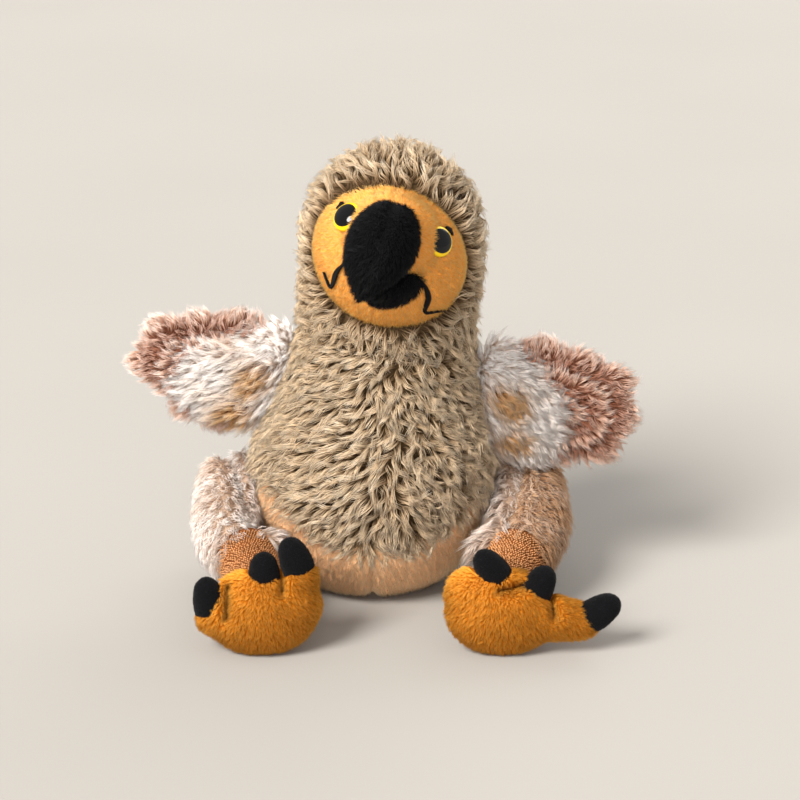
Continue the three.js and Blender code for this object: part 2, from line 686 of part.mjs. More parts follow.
// The hinge line follows the slope of the coat's side, and the wing is lifted and swept about its middle
function wingFrame(name) {
  const side = SIDES[name];
  const { height, lift, sweep } = WING_SIDES[name];
  const edge = (z) => new THREE.Vector3(coatLean(z) + side * coatRadius(z), 0, z);
  const up = edge(height + WING_CHORD / 4).sub(edge(height - WING_CHORD / 4)).normalize();
  const out = new THREE.Vector3(side, 0, 0);
  const front = out.clone().cross(up).normalize();
  const square = up.clone().cross(front).normalize();
  const origin = edge(height).addScaledVector(square, WING_ROOT_CLEAR);
  const frame = new THREE.Matrix4().makeBasis(square, up, front).setPosition(origin);
  frame.multiply(new THREE.Matrix4().makeRotationY(radians(-side * sweep)));
  return { frame, lift: new THREE.Matrix4().makeRotationZ(radians(lift)), up, origin };
}

// The rolled edge along the hinge line
function wingRoot() {
  const along = new THREE.Matrix4().makeRotationX(Math.PI / 2);
  const width = 2 * WING_ROOT_RADIUS;
  return bar(width, width, -WING_ROOT_LENGTH / 2, WING_ROOT_LENGTH / 2, HOLLOW_SIDES, along);
}

function addWing(name) {
  const { frame, lift } = wingFrame(name);
  const hollow = placed(wingForm(WING_SKIN, HOLLOW_SIDES, WING_HOLLOW_STEPS), lift);
  const skin = placed(wingForm(0, WING_FACETS, WING_STEPS), lift).add(wingRoot()).subtract(hollow);
  const panels = [skin.intersect(above(SEAM_GAP / 2)), skin.subtract(above(-SEAM_GAP / 2))];
  // the frame's z axis looks forward on the left wing and back on the right one
  const [front, back] = SIDES[name] > 0 ? panels : panels.toReversed();
  node(`wing_front_${name}`, placed(front, frame), WING_WHITE);
  node(`wing_back_${name}`, placed(back, frame), WING_BROWN);
  const fill = placed(wingForm(WING_SKIN + FILL_GAP, HOLLOW_SIDES, WING_HOLLOW_STEPS), lift);
  node(`wing_stuffing_${name}`, placed(fill, frame), FIBRE);
}

function legPath(name) {
  const side = SIDES[name];
  const { thigh, cuff } = LEG_SIDES[name];
  const points = [
    new THREE.Vector3(side * thigh, HIP_DEPTH + THIGH_BACK, HIP_HEIGHT),
    new THREE.Vector3(side * thigh, HIP_DEPTH, HIP_HEIGHT),
    new THREE.Vector3(side * thigh, HIP_DEPTH - KNEE_FORWARD, HIP_HEIGHT - KNEE_DROP),
    new THREE.Vector3(side * cuff, -CUFF_FORWARD, CUFF_HEIGHT),
    ankleOf(name),
  ];
  return new THREE.CatmullRomCurve3(points, false, "centripetal");
}

// The plane of the seam along the top of the thigh, seen as the half of space outside or inside it
function besideThighSeam(name, outside) {
  const side = SIDES[name];
  const { thigh, ankle } = LEG_SIDES[name];
  const turn = Math.atan2(thigh - ankle, HIP_DEPTH + ANKLE_FORWARD);
  const frame = new THREE.Matrix4().makeRotationZ(-side * turn);
  frame.setPosition(side * thigh, HIP_DEPTH, 0);
  const away = outside ? side : -side;
  const low = new THREE.Vector3(away > 0 ? SEAM_GAP / 2 : -REACH, -REACH, -REACH);
  const high = new THREE.Vector3(away > 0 ? REACH : -SEAM_GAP / 2, REACH, REACH);
  return placed(boxBetween(low, high), frame);
}

// The room that the body takes beside the thigh, grown for the skin and the stuffing
function bodySide(grow) {
  const frame = new THREE.Matrix4().makeRotationY(Math.PI / 2).setPosition(0, HIP_DEPTH, HIP_HEIGHT);
  const width = 2 * (HIP_DISC_RADIUS + grow);
  return bar(width, width, -HIP_SEAT - grow, HIP_SEAT + grow, COAT_SIDES, frame);
}

function ankleOf(name) {
  return new THREE.Vector3(SIDES[name] * LEG_SIDES[name].ankle, -ANKLE_FORWARD, ANKLE_HEIGHT);
}

function addLeg(name) {
  const path = legPath(name);
  const ankle = ankleOf(name);
  const { width } = LEG_SIDES[name];
  const shape = {
    path, widths: [width, width, width, 2 * CUFF_RADIUS, 2 * ANKLE_RADIUS],
    heights: [THIGH_HEIGHT, THIGH_HEIGHT, THIGH_FRONT_HEIGHT, 2 * CUFF_RADIUS, 2 * ANKLE_RADIUS],
    side: new THREE.Vector3(1, 0, 0), from: 0, to: CUFF_SHARE, steps: 7, sides: LEG_FACETS, roundStart: 0.22,
  };
  const thigh = limb({ ...shape, inset: 0 }).subtract(bodySide(0));
  const inside = { ...shape, to: 1, steps: HOLLOW_STEPS, sides: HOLLOW_SIDES };
  const hollow = limb({ ...inside, inset: THIGH_SKIN }).subtract(bodySide(THIGH_SKIN));
  const skin = thigh.subtract(hollow);
  node(`thigh_outer_${name}`, skin.intersect(besideThighSeam(name, true)), MOTTLED);
  node(`thigh_inner_${name}`, skin.intersect(besideThighSeam(name, false)), MOTTLED);
  const sleeveShape = {
    ...shape, from: CUFF_SHARE + SEAM_GAP / path.getLength(), to: 1, steps: 2 * SLEEVE_FOLDS,
    roundStart: 0, folds: SLEEVE_FOLDS, foldHeight: SLEEVE_FOLD_HEIGHT,
  };
  const sleeve = limb({ ...sleeveShape, inset: 0 }).add(hingeBall(ankle, ANKLE_RADIUS, LEG_FACETS));
  const boreShape = { ...inside, from: CUFF_SHARE - BORE_LEAD, steps: 2, roundStart: 0 };
  const bore = limb({ ...boreShape, inset: SLEEVE_THICKNESS });
  const boreEnd = ball(ankle, ANKLE_RADIUS - SLEEVE_THICKNESS, HOLLOW_SIDES);
  node(`ankle_sleeve_${name}`, sleeve.subtract(bore.add(boreEnd)), TERRY);
  const fillInset = THIGH_SKIN + FILL_GAP;
  const fill = limb({ ...inside, inset: fillInset }).subtract(bodySide(fillInset));
  node(`leg_stuffing_${name}`, fill, FIBRE);
}

// Foot frame: at the ankle, with z out of the sole, which faces forward and leans back
function footFrame(name) {
  const x = new THREE.Vector3(1, 0, 0);
  const y = new THREE.Vector3(0, 0, 1);
  const frame = new THREE.Matrix4().makeBasis(x, y, new THREE.Vector3(0, -1, 0));
  frame.setPosition(ankleOf(name));
  return frame.multiply(new THREE.Matrix4().makeRotationX(-radians(FOOT_LEAN)));
}

const padCentre = new THREE.Vector3(0, -PAD_DROP, PAD_FORWARD);

function toeEnd({ x, y }) {
  return padCentre.clone().add(new THREE.Vector3(x, y, 0));
}

function tube(path, widths, steps, inset, roundEnd) {
  return limb({
    path, widths, heights: widths, side: new THREE.Vector3(0, 0, 1),
    from: 0, to: 1, steps, sides: TOE_SIDES, inset, roundEnd,
  });
}

function padForm(inset, sides) {
  return ellipsoid(padCentre, PAD_WIDTH - 2 * inset, PAD_HEIGHT - 2 * inset, PAD_DEPTH / 2 - inset, sides);
}

// The pad with its three toes, grown all round
function footForm(name, grow) {
  let form = padForm(-grow, LIMB_SIDES);
  for (const toe of Object.values(TOES[name])) {
    const end = toeEnd(toe);
    const path = new THREE.LineCurve3(padCentre, end);
    form = form.add(tube(path, [2 * TOE_RADIUS, 2 * TOE_RADIUS], 1, -grow));
    form = form.add(ball(end, TOE_RADIUS + grow, TOE_SIDES));
  }
  return form;
}

// A tapered claw whose root takes the shape of the toe
function clawSolid(toe, seat) {
  const base = toeEnd(toe);
  const lean = radians(toe.lean);
  const out = new THREE.Vector3(-Math.sin(lean), Math.cos(lean), 0);
  const bend = base.clone().addScaledVector(out, CLAW_LENGTH / 2);
  const tip = base.clone().addScaledVector(out, CLAW_LENGTH);
  tip.z += CLAW_CURL;
  const path = new THREE.QuadraticBezierCurve3(base, bend, tip);
  const widths = [2 * CLAW_BASE_RADIUS, 2 * CLAW_BASE_RADIUS, 2 * CLAW_TIP_RADIUS];
  return tube(path, widths, 5, 0, 0.2).subtract(seat);
}

function addFoot(name) {
  const frame = footFrame(name);
  const socket = hingeSocket(ankleOf(name), ANKLE_RADIUS, LEG_FACETS);
  const floor = above(0);
  const skin = placed(footForm(name, 0).subtract(padForm(FOOT_SKIN, HOLLOW_SIDES)), frame).intersect(floor);
  const cut = skin.subtract(socket);
  node(`foot_sole_${name}`, cut.intersect(ahead(PAD_FORWARD + SEAM_GAP / 2, frame)), FOOT_ORANGE);
  node(`foot_top_${name}`, cut.subtract(ahead(PAD_FORWARD - SEAM_GAP / 2, frame)), FOOT_ORANGE);
  const fill = placed(padForm(FOOT_SKIN + FILL_GAP, HOLLOW_SIDES), frame);
  node(`foot_stuffing_${name}`, fill.subtract(socket), FIBRE);
  const seat = footForm(name, SEAM_GAP);
  for (const [toe, place] of Object.entries(TOES[name])) {
    node(`claw_${toe}_${name}`, placed(clawSolid(place, seat), frame), BLACK);
  }
}

// Tail: a tuft on a round root that rests on the back
function addTail() {
  const back = coatRadius(TAIL_HEIGHT) * coatDepthShare(TAIL_HEIGHT);
  const root = new THREE.Vector3(0, back + TAIL_ROOT_RADIUS + SWING_GAP, TAIL_HEIGHT);
  const tip = root.clone().add(new THREE.Vector3(0, TAIL_LENGTH, TAIL_RISE));
  const path = new THREE.LineCurve3(root, tip);
  const tuft = limb({
    path, widths: [2 * TAIL_ROOT_RADIUS, 2 * TAIL_RADIUS, 2 * TAIL_RADIUS, TAIL_RADIUS],
    heights: [2 * TAIL_ROOT_RADIUS, TAIL_THICKNESS, TAIL_THICKNESS, TAIL_RADIUS],
    side: new THREE.Vector3(1, 0, 0), from: 0, to: 1, steps: HOLLOW_STEPS, sides: HOLLOW_SIDES, inset: 0,
    roundEnd: 0.4,
  });
  node("tail_tuft", tuft.add(hingeBall(root, TAIL_ROOT_RADIUS, LIMB_SIDES)), WING_WHITE);
}

addBody();
addHead();
addBeak();
for (const name of Object.keys(SIDES)) {
  addWing(name);
  addLeg(name);
  addFoot(name);
}
addTail();

const dodo = new THREE.Group();
dodo.add(...nodes);

export default dodo;
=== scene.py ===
# %% [markdown]
# # A seated plush dodo
# The toy is a set of sewn skins over stuffing, and nearly every skin carries pile: long curly
# locks on the coat, brushed pile on the wings, short plush on face, beak, belly and feet. Pile
# could be a hair system or a bump map. Here each strand is a thin prism in the mesh itself,
# so that it also shows in an exported model and from every side.

import bpy
import numpy as np
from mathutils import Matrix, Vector


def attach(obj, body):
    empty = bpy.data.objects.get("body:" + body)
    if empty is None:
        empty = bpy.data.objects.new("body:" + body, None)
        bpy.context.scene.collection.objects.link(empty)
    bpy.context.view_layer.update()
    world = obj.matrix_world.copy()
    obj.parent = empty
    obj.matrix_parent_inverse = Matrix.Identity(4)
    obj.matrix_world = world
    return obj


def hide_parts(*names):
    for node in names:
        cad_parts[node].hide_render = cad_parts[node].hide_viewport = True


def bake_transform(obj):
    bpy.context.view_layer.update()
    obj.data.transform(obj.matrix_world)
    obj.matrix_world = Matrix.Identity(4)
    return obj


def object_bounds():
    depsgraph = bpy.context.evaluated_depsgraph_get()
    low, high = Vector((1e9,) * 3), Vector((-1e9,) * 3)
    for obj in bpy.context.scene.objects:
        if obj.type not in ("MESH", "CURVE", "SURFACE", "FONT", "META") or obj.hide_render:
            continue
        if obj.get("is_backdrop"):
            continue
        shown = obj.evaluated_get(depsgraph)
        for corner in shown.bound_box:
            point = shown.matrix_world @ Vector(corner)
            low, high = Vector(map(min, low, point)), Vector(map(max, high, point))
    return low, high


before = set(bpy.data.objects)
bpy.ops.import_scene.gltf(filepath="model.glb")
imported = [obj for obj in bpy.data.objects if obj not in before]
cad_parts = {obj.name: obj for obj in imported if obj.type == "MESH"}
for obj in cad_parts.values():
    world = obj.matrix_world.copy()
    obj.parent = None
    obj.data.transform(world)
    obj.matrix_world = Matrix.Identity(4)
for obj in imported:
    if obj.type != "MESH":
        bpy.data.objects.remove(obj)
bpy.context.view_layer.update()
rng = np.random.default_rng(7)
MM = 0.001  # metres; sizes are in mm where no comment says otherwise
SIDES = {"left": 1, "right": -1}  # the toy's own left is +X, the viewer's right

# %% [markdown]
# ## Camera, floor and light
# The photograph looks down on the toy by about 20 degrees through a long lens. The light is one
# large soft lamp from the upper left, with weak ones from the front and from behind, over a pale
# floor. A plain level is set, at which a colour on the toy renders about as it is written.

# %% Camera
LOOK_AT = Vector((0.014, 0.0, 0.0952))  # metres
CAMERA_AWAY = 1.4  # metres
CAMERA_RISE = np.radians(20)
camera = bpy.data.objects.new("camera", bpy.data.cameras.new("camera"))
bpy.context.collection.objects.link(camera)
camera.data.lens = 126
camera.data.sensor_width = 36
away = Vector((0, -np.cos(CAMERA_RISE), np.sin(CAMERA_RISE)))
camera.location = LOOK_AT + CAMERA_AWAY * away
camera.rotation_mode = "QUATERNION"
camera.rotation_quaternion = (-away).to_track_quat("-Z", "Y")
bpy.context.scene.camera = camera
bpy.context.scene.view_settings.view_transform = "Standard"
print("camera at", [round(c, 3) for c in camera.location])


# %% Lamps and world
def lamp(name, place, spread, strength, colour):
    """A wide soft light that shines from a place's direction, the same all over the floor."""
    data = bpy.data.lights.new(name, "SUN")
    data.angle, data.energy, data.color = np.radians(spread), strength, colour
    made = bpy.data.objects.new(name, data)
    bpy.context.collection.objects.link(made)
    made.location = place
    made.rotation_mode = "QUATERNION"
    made.rotation_quaternion = (Vector(place) - LOOK_AT).to_track_quat("Z", "Y")
    return made


SOFT_WHITE = (1.0, 0.98, 0.96)
lamp("key_lamp", (-1.05, -1.15, 1.45), spread=26, strength=5.0, colour=(1.0, 0.97, 0.93))
lamp("fill_lamp", (-0.2, -1.8, 0.25), spread=50, strength=1.7, colour=SOFT_WHITE)
lamp("back_lamp", (0.9, 1.6, 1.3), spread=50, strength=1.1, colour=SOFT_WHITE)
world = bpy.data.worlds.new("soft_room")
bpy.context.scene.world = world
world.use_nodes = True
sky = world.node_tree.nodes["Background"].inputs
sky["Color"].default_value = (*SOFT_WHITE, 1)
sky["Strength"].default_value = 0.6

# %% [markdown]
# ## Shader maths
# A finish is a small graph of nodes. Writing links by hand is long, so one class wraps a socket
# and gives it Python's operators, and another holds the material and adds any node by its type.


# %% Sockets and finishes
class Socket:
    """An output socket that can stand in a sum or a product; each operator adds one Math node."""

    def __init__(self, finish, out):
        self.finish, self.out = finish, out

    def _math(self, operation, first, second):
        made = self.finish.node("ShaderNodeMath", {"operation": operation}, {0: first, 1: second})
        return Socket(self.finish, made.outputs[0])

    def __add__(self, other):
        return self._math("ADD", self, other)

    def __radd__(self, other):
        return self._math("ADD", other, self)

    def __mul__(self, other):
        return self._math("MULTIPLY", self, other)

    def __rmul__(self, other):
        return self._math("MULTIPLY", other, self)


class Finish:
    """A material: constants on its shader's sockets, and nodes for what changes over a surface."""

    def __init__(self, name, **constants):
        self.material = bpy.data.materials.new(name)
        self.material.use_nodes = True
        self.tree = self.material.node_tree
        self.shader = self.tree.nodes["Principled BSDF"]
        for key, value in constants.items():
            self.shader.inputs[key.replace("_", " ")].default_value = value

    def node(self, kind, settings=None, values=None):
        """Any node: its settings first, a ramp's stops among them, then its sockets."""
        made = self.tree.nodes.new(kind)
        for key, value in (settings or {}).items():
            if key == "stops":
                ramp = made.color_ramp.elements
                while len(ramp) < len(value):
                    ramp.new(0.5)
                for stop, (place, colour) in zip(ramp, value):
                    stop.position, stop.color = place, colour
            else:
                setattr(made, key, value)
        for key, value in (values or {}).items():
            self.feed(made.inputs[key], value)
        return made

    def feed(self, socket, value):
        """Links an output to a socket, or sets a plain value on it."""
        if isinstance(value, Socket):
            self.tree.links.new(value.out, socket)
        else:
            socket.default_value = value

    def attribute(self, name):
        """A number that the mesh carries."""
        made = self.node("ShaderNodeAttribute", {"attribute_name": name})
        return Socket(self, made.outputs["Fac"])

    def place(self):
        """The place on the piece, in its own frame."""
        return Socket(self, self.node("ShaderNodeTexCoord").outputs["Object"])

    def noise(self, scale, detail=2.0):
        """Soft random patches, about this many to the metre."""
        values = {"Vector": self.place(), "Scale": scale, "Detail": detail}
        return Socket(self, self.node("ShaderNodeTexNoise", None, values).outputs["Fac"])

    def ramp(self, along, stops):
        """The colour at a share of the way through some stops."""
        made = self.node("ShaderNodeValToRGB", {"stops": stops}, {"Fac": along})
        return Socket(self, made.outputs["Color"])

    def mix(self, share, first, second):
        """A blend of two colours."""
        settings = {"data_type": "RGBA"}
        made = self.node("ShaderNodeMix", settings, {0: share, 6: first, 7: second})
        return Socket(self, made.outputs[2])

    def scaled(self, colour, share):
        """A colour made darker or lighter."""
        made = self.node("ShaderNodeVectorMath", {"operation": "SCALE"}, {0: colour, 3: share})
        return Socket(self, made.outputs[0])

    def colour(self, value):
        """The shader's colour."""
        self.feed(self.shader.inputs["Base Color"], value)

    def bump(self, height, strength, distance):
        """Small relief, by shading alone; the distance is in metres."""
        values = {"Height": height, "Strength": strength, "Distance": distance}
        made = self.node("ShaderNodeBump", None, values)
        self.feed(self.shader.inputs["Normal"], Socket(self, made.outputs[0]))


def ink(red, green, blue):
    """A screen colour, 0 to 255, as the linear light that a socket takes."""
    c = np.array([red, green, blue]) / 255
    linear = np.where(c > 0.04045, ((c + 0.055) / 1.055) ** 2.4, c / 12.92)
    return (*linear.tolist(), 1.0)


print("grey 128 as linear light:", round(ink(128, 128, 128)[0], 3))

# %% [markdown]
# ## Floor
# A wide pale sheet, rolled out under the toy. It only takes the shadow. When the legs swing down,
# the feet go lower than the seat, as on a toy that is picked up. So the floor is held below the
# feet by plain Floor constraints on marks at their lowest places, and stays where it is at rest.

# %% Floor
FLOOR_SIDES = 64
FLOOR_RINGS = np.array([0.5, 4, 60])  # metres from the middle
FLOOR_DROP = 0.0002  # metres below the toy
MARK_OFFSET = -0.9  # mm from a mark to the floor
MARK_TILTS = np.radians(np.linspace(-60, 60, 7))  # round straight down


def full_turn(count):
    """Angles of one whole turn, evenly spaced, from 0."""
    return np.linspace(0, 2 * np.pi, count + 1)[:-1]


plain = Finish("floor_paper", Roughness=0.9)
plain.colour(plain.mix(plain.noise(3.0), ink(166, 162, 156), ink(173, 169, 163)))
turn, reach = np.meshgrid(full_turn(FLOOR_SIDES), FLOOR_RINGS)
spots = np.stack([reach * np.cos(turn), reach * np.sin(turn), 0 * reach - FLOOR_DROP], -1)
here = np.arange(FLOOR_SIDES)
then = np.roll(here, -1)
band = np.stack([here, then, then + FLOOR_SIDES, here + FLOOR_SIDES], 1)
cells = [here.tolist(), *band.tolist(), *(band + FLOOR_SIDES).tolist()]
floor_mesh = bpy.data.meshes.new("floor")
floor_mesh.from_pydata(spots.reshape(-1, 3), [], cells)
floor_mesh.materials.append(plain.material)
floor = bpy.data.objects.new("floor", floor_mesh)
bpy.context.collection.objects.link(floor)
floor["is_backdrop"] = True
print("floor faces:", len(floor_mesh.polygons))


def keep_floor_below(points, body):
    """Marks a body's lowest points, found along a few directions round straight down, and keeps
    the floor from rising past them."""
    for tilt in MARK_TILTS:
        mark = bpy.data.objects.new(f"{body}_low_mark", None)
        bpy.context.collection.objects.link(mark)
        mark.location = MM * points[np.argmax(points @ [0, np.sin(tilt), -np.cos(tilt)])]
        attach(mark, body)
        mark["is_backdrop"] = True
        hold = floor.constraints.new("FLOOR")
        hold.target, hold.floor_location, hold.offset = mark, "FLOOR_NEGATIVE_Z", MARK_OFFSET * MM


# %% [markdown]
# ## Surfaces as arrays
# Each skin is a grid of points: a function of two parameters worked out as whole arrays. Two
# triangles fill each cell. A panel gets a second grid further in and a wall round its edge, so
# that it is closed like real cloth with a thickness.


# %% Grids, panels and lofts
def unit(v):
    """Each row divided by its own length."""
    return v / np.maximum(np.linalg.norm(v, axis=-1, keepdims=True), 1e-9)


def ease(a, b, t):
    """A cosine step from a, where t is 0, to b, where t is 1."""
    return a + (b - a) * (1 - np.cos(np.pi * np.clip(t, 0, 1))) / 2


def rows_of(*columns):
    """Numbers and arrays side by side as the columns of rows."""
    return np.stack(np.broadcast_arrays(*columns), -1)


def grid_faces(rows, cols, wrap=False):
    """Two triangles for each cell of a grid; wrap joins the last column to the first."""
    low = np.arange(rows - 1)[:, None] * cols
    here = np.arange(cols if wrap else cols - 1)[None, :]
    then = (here + 1) % cols
    a, b, c, d = low + here, low + then, low + cols + then, low + cols + here
    return np.stack([a, b, c, a, c, d], -1).reshape(-1, 3)


def grid_normals(grid):
    """Column step crossed with row step, at each point of a grid."""
    return unit(np.cross(np.gradient(grid, axis=1), np.gradient(grid, axis=0)))


def facing_out(grid, centre):
    """The grid, with its columns turned round if its normals look at the centre."""
    looks = np.sum(grid_normals(grid) * (grid - centre))
    return grid if looks > 0 else grid[:, ::-1]


def sunk(grid, depth):
    """The grid moved in along its normals."""
    return grid - np.asarray(depth)[..., None] * grid_normals(grid)


def shell(outer, thickness):
    """A closed panel: the outer grid, the same grid sunk and turned over, a wall round the edge."""
    rows, cols = outer.shape[:2]
    count = rows * cols
    index = np.arange(count).reshape(rows, cols)
    face = grid_faces(rows, cols)
    rim = np.concatenate([index[0], index[1:, -1], index[-1, -2::-1], index[-2:0:-1, 0]])
    then = np.roll(rim, -1)
    wall = [np.stack([then, rim, rim + count], 1), np.stack([then, rim + count, then + count], 1)]
    points = np.concatenate([outer.reshape(-1, 3), sunk(outer, thickness).reshape(-1, 3)])
    return points, np.concatenate([face, face[:, ::-1] + count, *wall])


def outer_skin(grid):
    """The grid alone as points and triangles, for planting pile on."""
    return grid.reshape(-1, 3), grid_faces(*grid.shape[:2])


def outward(points, faces):
    """The triangles of a closed skin, turned round if the volume inside them is negative."""
    a, b, c = points[faces.T]
    return faces if np.sum(a * np.cross(b, c)) > 0 else faces[:, ::-1]


def loft(rings):
    """A closed skin over rings of points, with a fan to the middle of the first and last ring."""
    count, sides = rings.shape[:2]
    here = np.arange(sides)
    then = (here + 1) % sides
    top = (count - 1) * sides
    middle = np.full(sides, count * sides)
    first = np.stack([middle, then, here], 1)
    last = np.stack([middle + 1, top + here, top + then], 1)
    points = np.concatenate([rings.reshape(-1, 3), rings[[0, -1]].mean(1)])
    faces = np.concatenate([grid_faces(count, sides, True), first, last])
    return points, outward(points, faces)


def together(*skins):
    """Several skins as one set of points and triangles."""
    starts = np.cumsum([0] + [len(points) for points, _ in skins[:-1]])
    faces = [faces + start for (_, faces), start in zip(skins, starts)]
    return np.concatenate([points for points, _ in skins]), np.concatenate(faces)


def normals_of(points, faces):
    """Each triangle's cross product added to its corners, so large triangles count for more."""
    a, b, c = points[faces.T]
    total = np.zeros_like(points)
    np.add.at(total, faces.ravel(), np.repeat(np.cross(b - a, c - a), 3, axis=0))
    return unit(total)


def thick(points, faces, depth):
    """An open skin as closed cloth: a copy sunk along the normals and turned over, and a wall
    along every edge that only one triangle uses."""
    normals = normals_of(points, faces)
    used, faces = np.unique(faces, return_inverse=True)
    faces, points, normals = faces.reshape(-1, 3), points[used], normals[used]
    count = len(points)
    edges = np.concatenate([faces[:, [0, 1]], faces[:, [1, 2]], faces[:, [2, 0]]])
    code = np.sort(edges, 1) @ np.array([count, 1])
    _, first, times = np.unique(code, return_index=True, return_counts=True)
    a, b = edges[first[times == 1]].T
    wall = [np.stack([b, a, a + count], 1), np.stack([b, a + count, b + count], 1)]
    both = np.concatenate([points, points - depth * normals])
    return both, np.concatenate([faces, faces[:, ::-1] + count, *wall])


def placed(points, matrix):
    """Points of a piece's own frame, in the toy's frame."""
    return points @ matrix[:3, :3].T + matrix[:3, 3]


print("cells of a 3 by 4 grid:", len(grid_faces(3, 4)) // 2)

# %% [markdown]
# ## Pile
# Real pile is a forest of fibres that lean one way and gather in locks. Roots are spread evenly
# over a skin, and lock centres more sparsely. Each strand leans along a comb direction, and its
# tip is drawn to the middle of its lock. Curly locks add a helix that widens to the tip.


# %% Strands
def scatter(skin, count):
    """Places spread over a skin: even jittered steps along the summed area pick a triangle, and
    two random shares, folded into its corner, the place in it. Returns places and normals."""
    points, faces = skin
    a, b, c = points[faces.T]
    area = np.linalg.norm(np.cross(b - a, c - a), axis=1)
    steps = (np.arange(count) + rng.random(count)) / count * area.sum()
    pick = np.clip(np.searchsorted(np.cumsum(area), steps), 0, len(faces) - 1)
    share = rng.random((count, 2))
    share = np.where(share.sum(1, keepdims=True) > 1, 1 - share, share)
    weight = np.concatenate([1 - share.sum(1, keepdims=True), share], 1)[:, :, None]
    places = np.sum(weight * points[faces[pick]], 1)
    return places, unit(np.sum(weight * normals_of(points, faces)[faces[pick]], 1))


def nearest(places, centres):
    """The index of the nearest centre to each place, from all the squared distances."""
    square = np.sum(centres**2, 1)[None] - 2 * places @ centres.T
    return square.argmin(1)


def pile(skin, tufts, per_tuft, length, comb, lift=1.0, clump=0.8, width=0.5, curl=0.0,
         turns=0.6, rings=3, jitter=0.3, keep=None, blunt=0.3, wave=0.0, lay=1.0, fray=0.0):
    """Strands on a skin. A strand rises by lift times t - 0.45 t squared along the normal and leans
    by lay times 0.25 t + 0.6 t squared along the comb direction, times its length, while its
    root's offset from the lock's middle shrinks by the clump share. A wave bends each lock to a
    side by the sine of its share of a turn, and fray lets each strand's tip stray by itself. Each
    strand is a three-sided prism that tapers to a point. length and curl may be functions of
    place; keep drops places."""
    centres, out = scatter(skin, tufts)
    roots, _ = scatter(skin, tufts * per_tuft)
    if keep is not None:
        held = keep(centres)
        centres, out, roots = centres[held], out[held], roots[keep(roots)]
    own = nearest(roots, centres)
    way = comb(centres, out)
    way = unit(way - np.sum(way * out, 1, keepdims=True) * out)
    side = np.cross(out, way)
    turn = rng.normal(0, 1, (len(centres), 1)) * jitter
    way, side = way * np.cos(turn) + side * np.sin(turn), side * np.cos(turn) - way * np.sin(turn)
    reach = length(centres) if callable(length) else np.full(len(centres), float(length))
    reach = reach * rng.uniform(0.8, 1.15, len(centres))
    reach = (reach[own] * rng.uniform(0.85, 1.1, len(roots)))[:, None, None]
    n, w, s = out[own][:, None], way[own][:, None], side[own][:, None]
    t = np.linspace(0, 1, rings + 1)[None, :, None]
    line = roots[:, None] - (roots - centres[own])[:, None] * clump * t**1.3
    line = line + reach * (n * lift * (t - 0.45 * t**2) + w * lay * (0.25 * t + 0.6 * t**2))
    phase = rng.uniform(0, 2 * np.pi, len(centres))[own][:, None, None]
    wind = 2 * np.pi * turns * t + phase
    swirl = curl(centres)[own][:, None, None] if callable(curl) else curl
    line = line + swirl * t * (np.cos(wind) * n + np.sin(wind) * s)
    bend = rng.normal(0, 1, len(centres))[own][:, None, None] * wave
    line = line + bend * s * np.sin(np.pi * t * (0.8 + 0.5 * turns))
    line = line + fray * t**1.5 * rng.normal(0, 1, (len(roots), 1, 3))
    tone = 0.65 * rng.random(len(centres))[own] + 0.35 * rng.random(len(roots))
    return {"line": line, "side": s, "width": width, "blunt": blunt, "tone": tone, "roots": roots,
            "tint": np.zeros(len(roots)), "middle": centres[own]}


def prisms(made):
    """Three corners round each step of a strand's line, and its tip: (strands, corners, 3)."""
    line, s = made["line"], made["side"]
    count, steps = line.shape[:2]
    e = np.cross(unit(line[:, -1] - line[:, 0])[:, None], s)
    angle = np.radians([90.0, 210.0, 330.0])[None, None, :, None]
    t = np.linspace(0, 1, steps)[None, :-1, None, None]
    radius = made["width"] / 2 * (1 - (1 - made["blunt"]) * t)
    ring = radius * (np.cos(angle) * s[:, :, None] + np.sin(angle) * e[:, :, None])
    corners = (line[:, :-1, None] + ring).reshape(count, -1, 3)
    return np.concatenate([corners, line[:, -1:]], 1)


def strand_faces(rings):
    """Triangles of one strand, and where each corner lies in its cell of the bake map."""
    sides = [(k, j, 3 * k + j, 3 * k + (j + 1) % 3) for k in range(rings) for j in range(3)]
    faces, spots = [], []
    for k, j, a, b in sides:
        if k < rings - 1:
            faces += [(a, b, b + 3), (a, b + 3, a + 3)]
            spots += [((j, k), (j + 1, k), (j + 1, k + 1)), ((j, k), (j + 1, k + 1), (j, k + 1))]
        else:
            faces.append((a, b, 3 * rings))
            spots.append(((j, k), (j + 1, k), (j + 0.5, k + 1)))
    return np.array(faces), np.array(spots, float) / [3, rings]


print("triangles of a strand with 4 rings:", len(strand_faces(4)[0]))

# %% [markdown]
# ## From arrays to a piece
# A piece is one mesh: its backing first, then its strands. Three attributes travel with it for
# the finishes: how far along its strand a point is, a random tone for each strand, and a tint that
# picks between two dyes. The bake map gives two backing triangles to a cell, and one tall cell to
# each strand. A piece stands for a node, and where it covers stuffing, for that as well.


# %% Pieces
def skin_cells(count, low, high):
    """Bake map places for triangles, two to a square cell, in rows between two heights."""
    cells = (count + 1) // 2
    across = int(np.ceil(np.sqrt(cells / (high - low))))
    down = int(np.ceil(cells / across))
    index = np.arange(count)
    corner = np.stack([index // 2 % across, index // 2 // across], 1)[:, None]
    lower = np.array([[0.06, 0.06], [0.86, 0.06], [0.06, 0.86]])
    within = np.where((index % 2 == 0)[:, None, None], lower, 1 - lower)
    return (corner + within) / [across, down] * [1, high - low] + [0, low]


def strand_cells(count, spots, low, high):
    """Bake map places for strands: one cell three times as tall as wide for each."""
    across = int(np.ceil(np.sqrt(3 * count / (high - low))))
    down = int(np.ceil(count / across))
    index = np.arange(count)
    corner = np.stack([index % across, index // across], 1)[:, None, None]
    within = 0.08 + 0.84 * spots[None]
    return (corner + within) / [across, down] * [1, high - low] + [0, low]


